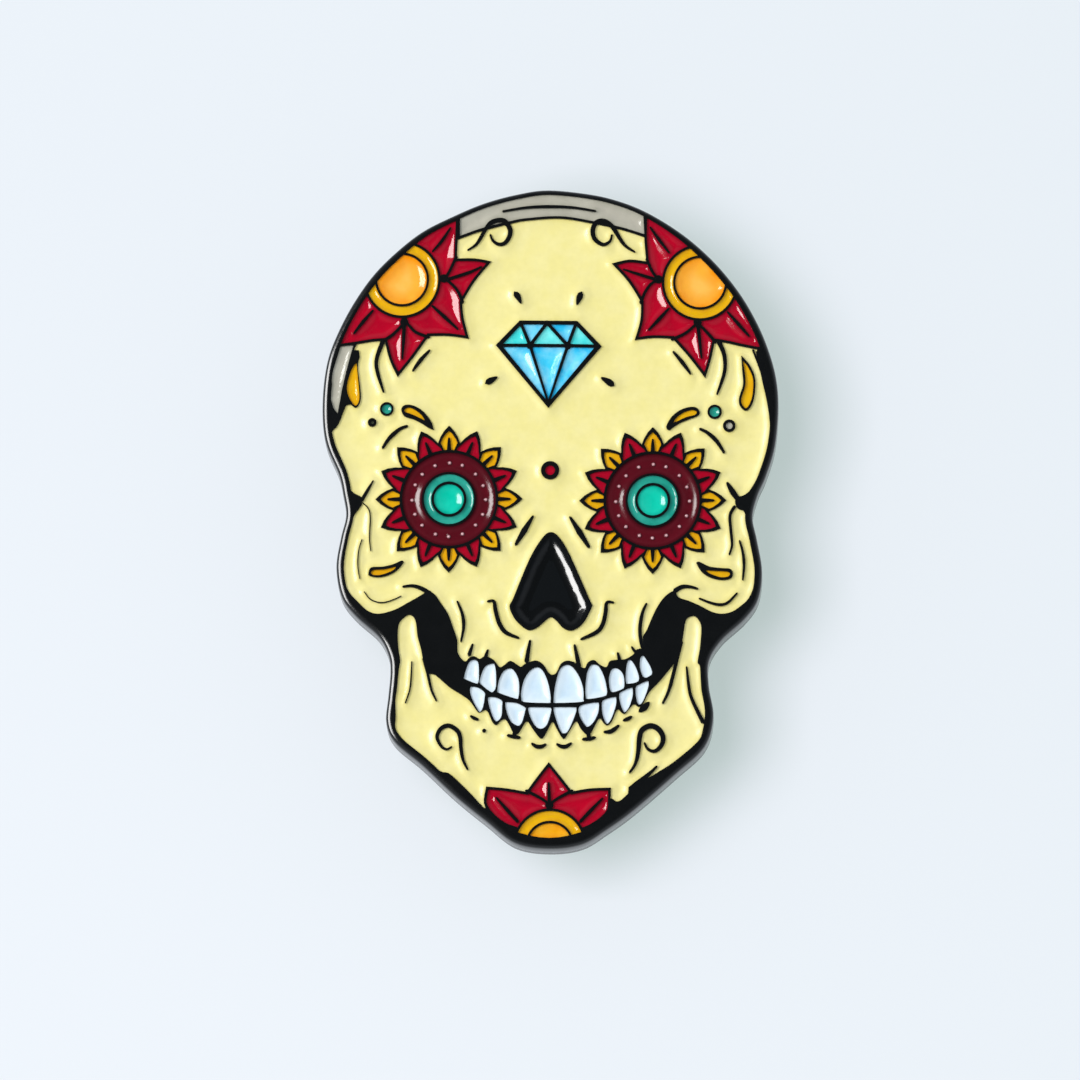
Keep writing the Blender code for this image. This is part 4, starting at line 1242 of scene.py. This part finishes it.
for which in ("upper", "lower"):
    end = -0.02
    # Post: weld pad with a fillet, shaft with a neck, ground tip.
    profile = rounded(
        [
            (0, end), (PAD_R, end), (PAD_R, end - PAD_H), (POST_R + 0.05, end - PAD_H - 0.02),
            (POST_R, end - PAD_H - 0.5), (POST_R, -POST_LENGTH + TIP + 1.1),
            (NECK_R, -POST_LENGTH + TIP + 0.85), (NECK_R, -POST_LENGTH + TIP + 0.4),
            (POST_R * 0.96, -POST_LENGTH + TIP + 0.15), (POST_R * 0.8, -POST_LENGTH + TIP * 0.7),
            (0.06, -POST_LENGTH + 0.03), (0, -POST_LENGTH),
        ],
        0.14,
    )
    verts, faces = lathe([(max(r, 0.0), h) for r, h in profile], 48)
    solid(f"tack_{which}", verts, faces, which, "badge", f"post_{which}", STEEL, 50)

    # Base disc: rolled edge, a step round the shell and pressed ribs.
    z0 = -CLUTCH_TOP
    low = z0 - BASE_T * 1.2

    def ribs(r, a, h, low=low, z0=z0):
        if h > z0 - BASE_T * 0.6 or not 4.45 < r < 5.25:
            return 0.0
        return -0.07 * max(0.0, math.cos(12 * a)) ** 3 * math.sin(math.pi * (r - 4.45) / 0.8)

    profile = rounded(
        [
            (BASE_HOLE, z0 - BASE_T * 0.2), (BASE_HOLE, low), (3.0, low), (SHELL_R + 0.28, low), (SHELL_R + 0.5, low + 0.07),
            (4.6, low + 0.07), (4.75, low + 0.07), (4.9, low + 0.07), (5.05, low + 0.07), (5.2, low + 0.07), (BASE_R - 0.22, low + 0.02),
            (BASE_R, z0 - BASE_T * 0.75), (BASE_R, z0 - BASE_T * 0.2), (BASE_R - 0.2, z0), (BASE_R - 0.45, z0 - 0.05),
            (SHELL_R + 0.3, z0 - 0.06), (BASE_HOLE + 0.5, z0 - 0.06),
        ],
        0.07, 3,
    )
    verts, faces = lathe(profile, 120, ribs)
    solid(f"clutch_disc_{which}", verts, faces, which, f"clutch_{which}", f"clutch_{which}_base", NICKEL, 50)

    # Shell: a drawn cup with a domed end and two side windows.
    top = low - 0.02
    half, near, far = WINDOW
    cut = math.asin(half / SHELL_R)
    marks = [0.0]
    for a, b, n in ((0, cut, 8), (cut, math.pi - cut, 30), (math.pi - cut, math.pi + cut, 16), (math.pi + cut, 2 * math.pi - cut, 30), (2 * math.pi - cut, 2 * math.pi, 8)):
        marks += [a + (b - a) * (i + 1) / n for i in range(n)]
    marks = marks[:-1]
    wall = [(SHELL_R, top), (SHELL_R, top - near), (SHELL_R, top - far), (SHELL_R, top - SHELL_H + 0.9)]
    dome = []
    for i in range(1, 9):
        a = math.radians(90 * i / 8)
        dome.append((SHELL_R - 0.95 + 0.95 * math.cos(a), top - SHELL_H + 0.95 - 0.95 * math.sin(a) * 0.93))
    end_face = [(2.2, top - SHELL_H + 0.03), (1.7, top - SHELL_H + 0.02), (1.45, top - SHELL_H + 0.10), (0.95, top - SHELL_H + 0.12), (POST_R + 0.25, top - SHELL_H + 0.05)]
    rows = wall + dome + end_face
    verts, faces = [], []
    for r, h in rows:
        verts += [(r * math.cos(a), r * math.sin(a), h) for a in marks]
    n = len(marks)
    for k in range(len(rows) - 1):
        for i in range(n):
            middle = marks[i] + 0.01
            in_window = k == 1 and abs(math.sin(middle)) < math.sin(cut)
            if not in_window:
                j = (i + 1) % n
                faces.append((k * n + i, k * n + j, (k + 1) * n + j, (k + 1) * n + i))
    obj = solid(f"clutch_cup_{which}", verts, faces, which, f"clutch_{which}", f"clutch_{which}_shell", NICKEL, 40, 0.05, 0.33)

    # Wings: a curved, slightly flared tab on an arm that ends in a jaw behind the post.
    for side, sign in (("left", 1.0), ("right", -1.0)):
        outer, inner = [], []
        for i in range(25):
            a = math.radians(180 - WING_HALF + 2 * WING_HALF * i / 24)
            flare = 0.10 * (abs(i - 12) / 12) ** 3
            outer.append(((WING_R + WING_T) * math.cos(a) - 0 * flare, (WING_R + WING_T) * math.sin(a)))
            inner.append(((WING_R + flare) * math.cos(a), (WING_R + flare) * math.sin(a)))
        tab = prism(outer + inner[::-1], top - WINDOW[2] + 0.15 - 0.9, top - WINDOW[1] - 0.15 + 0.5)
        arm_loop = [
            (-WING_R - WING_T * 0.5, 0.85), (-WING_R - WING_T * 0.5, 0.85 + ARM_T), (1.25, 0.85 + ARM_T),
            (1.25, -0.7), (0.66, -0.7), (0.66, 0.85),
        ]
        arm = prism(arm_loop, top - WINDOW[2] + 0.3, top - WINDOW[2] + 0.3 + ARM_H)
        verts, faces = merged(tab, arm)
        verts = [(x * sign, y * sign, w) for x, y, w in verts]
        solid(
            f"clutch_wing_{side}_{which}", verts, faces, which, f"clutch_{which}_wing_{side}",
            f"clutch_{which}_wing_{side}", NICKEL, 40, 0.07,
        )

# ---- stage, light and camera ---------------------------------------------------------------
def backdrop():
    y = (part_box("post_upper")[1].y / MM + 0.15) * MM
    half = 0.6
    mesh = bpy.data.meshes.new("backdrop")
    mesh.from_pydata([(-half, y, -half), (half, y, -half), (half, y, half), (-half, y, half)], [], [(0, 1, 2, 3)])
    obj = bpy.data.objects.new("backdrop", mesh)
    bpy.context.scene.collection.objects.link(obj)
    mat, nodes, links, shader = new_material("backdrop")
    cloud = ramp(nodes, links, noise(nodes, links, 6, 2), 0.3, 0.7)
    links.new(mix(nodes, links, srgb(156, 160, 164), srgb(159, 163, 166), cloud), shader.inputs["Base Color"])
    shader.inputs["Roughness"].default_value = 0.9
    shader.inputs["Specular IOR Level"].default_value = 0.1
    # Seen and casting only from its front, so that the back of the pin can be looked at.
    geometry = nodes.new("ShaderNodeNewGeometry")
    clear = nodes.new("ShaderNodeBsdfTransparent")
    blend = nodes.new("ShaderNodeMixShader")
    out = nodes["Material Output"]
    shader.inputs["Emission Color"].default_value = (0.843, 1.0, 0.953, 1)
    shader.inputs["Emission Strength"].default_value = 0.475
    links.new(geometry.outputs["Backfacing"], blend.inputs[0])
    links.new(shader.outputs[0], blend.inputs[1])
    links.new(clear.outputs[0], blend.inputs[2])
    links.new(blend.outputs[0], out.inputs["Surface"])
    obj.data.materials.append(mat)
    return obj


stand = backdrop()
stand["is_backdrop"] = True

world = bpy.data.worlds.new("world")
bpy.context.scene.world = world
world.use_nodes = True
wn, wl = world.node_tree.nodes, world.node_tree.links
back_node = wn["Background"]
back_node.inputs["Color"].default_value = srgb(232, 240, 250)
# The room in front of the face is dim where it would mirror in flat enamel.
path, coord, axis = wn.new("ShaderNodeLightPath"), wn.new("ShaderNodeTexCoord"), wn.new("ShaderNodeVectorMath")
axis.operation = "DOT_PRODUCT"
axis.inputs[1].default_value = Vector((-0.04, -0.97, 0.24)).normalized()
wl.new(coord.outputs["Generated"], axis.inputs[0])
dim = ramp(wn, wl, axis.outputs["Value"], 0.55, 0.85)
times = wn.new("ShaderNodeMath")
times.operation = "MULTIPLY"
wl.new(dim, times.inputs[0])
wl.new(path.outputs["Is Glossy Ray"], times.inputs[1])
level = wn.new("ShaderNodeMapRange")
level.inputs["To Min"].default_value = 0.50
level.inputs["To Max"].default_value = 0.05
wl.new(times.outputs["Value"], level.inputs["Value"])
wl.new(level.outputs["Result"], back_node.inputs["Strength"])


def softbox(name, position, size, power, colour=(1, 1, 1), target=(0, 0, 0)):
    light = bpy.data.lights.new(name, "AREA")
    light.shape = "RECTANGLE"
    light.size, light.size_y = size
    light.energy = power
    light.color = colour
    obj = bpy.data.objects.new(name, light)
    bpy.context.scene.collection.objects.link(obj)
    obj.location = position
    obj.rotation_mode = "QUATERNION"
    obj.rotation_quaternion = (Vector(target) - Vector(position)).to_track_quat("-Z", "Y")
    return obj


key = softbox("key", (-0.34, -0.36, 0.07), (0.16, 0.32), 1.95, (1.0, 0.995, 0.98))
fill = softbox("fill", (0.25, -0.55, 0.30), (0.5, 0.5), 0.9, (0.95, 0.98, 1.0))
under = softbox("under", (0.05, -0.35, -0.45), (0.4, 0.3), 0.5, (0.96, 0.98, 1.0))
table = softbox("table", (-0.18, -0.55, -0.09), (0.30, 0.30), 3.6, (1.0, 0.83, 0.96))
behind = [
    softbox("behind_left", (-0.3, 0.45, 0.25), (0.3, 0.3), 2.0),
    softbox("behind_right", (0.35, 0.40, -0.05), (0.3, 0.3), 1.4),
]
fill.visible_glossy = under.visible_glossy = table.visible_glossy = False
# One soft light is for the table alone, and the others are for the pin.
on_table, on_pin = bpy.data.collections.new("lit_table"), bpy.data.collections.new("lit_pin")
on_table.objects.link(stand)
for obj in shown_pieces():
    on_pin.objects.link(obj)
table.light_linking.receiver_collection = on_table
for light in [key, fill, under] + behind:
    light.light_linking.receiver_collection = on_pin

camera_data = bpy.data.cameras.new("camera")
camera = bpy.data.objects.new("camera", camera_data)
bpy.context.scene.collection.objects.link(camera)
bpy.context.scene.camera = camera
camera_data.lens = 700
camera_data.sensor_width = 36
WIDTH = 0.0724  # what the frame spans at the pin
distance = WIDTH * camera_data.lens / camera_data.sensor_width
aim = Vector((0.0, -0.004, 0.0))
toward = Vector((math.sin(math.radians(1.2)), -0.969, -0.242)).normalized()
camera.rotation_mode = "QUATERNION"
turn = (-toward).to_track_quat("-Z", "Y")
roll = Matrix.Rotation(math.radians(0.14), 3, "Z").to_quaternion()
camera.rotation_quaternion = turn @ roll
rot = camera.rotation_quaternion.to_matrix()
# The pin's centre lies at (550, 522) of the 1080-wide frame.
right, up = rot @ Vector((1, 0, 0)), rot @ Vector((0, 1, 0))
shift = right * (-(550.4 - 540) / 1080 * WIDTH) + up * ((521.2 - 540) / 1080 * WIDTH)
camera.location = aim + toward * distance + shift
camera_data.clip_start, camera_data.clip_end = 0.01, 10
bpy.context.scene.view_settings.view_transform = "Standard"

print("faces", sum(len(o.data.polygons) for o in built.values()), "triangles2", len(T2), "unlabelled", sum(k is None for k in K2))
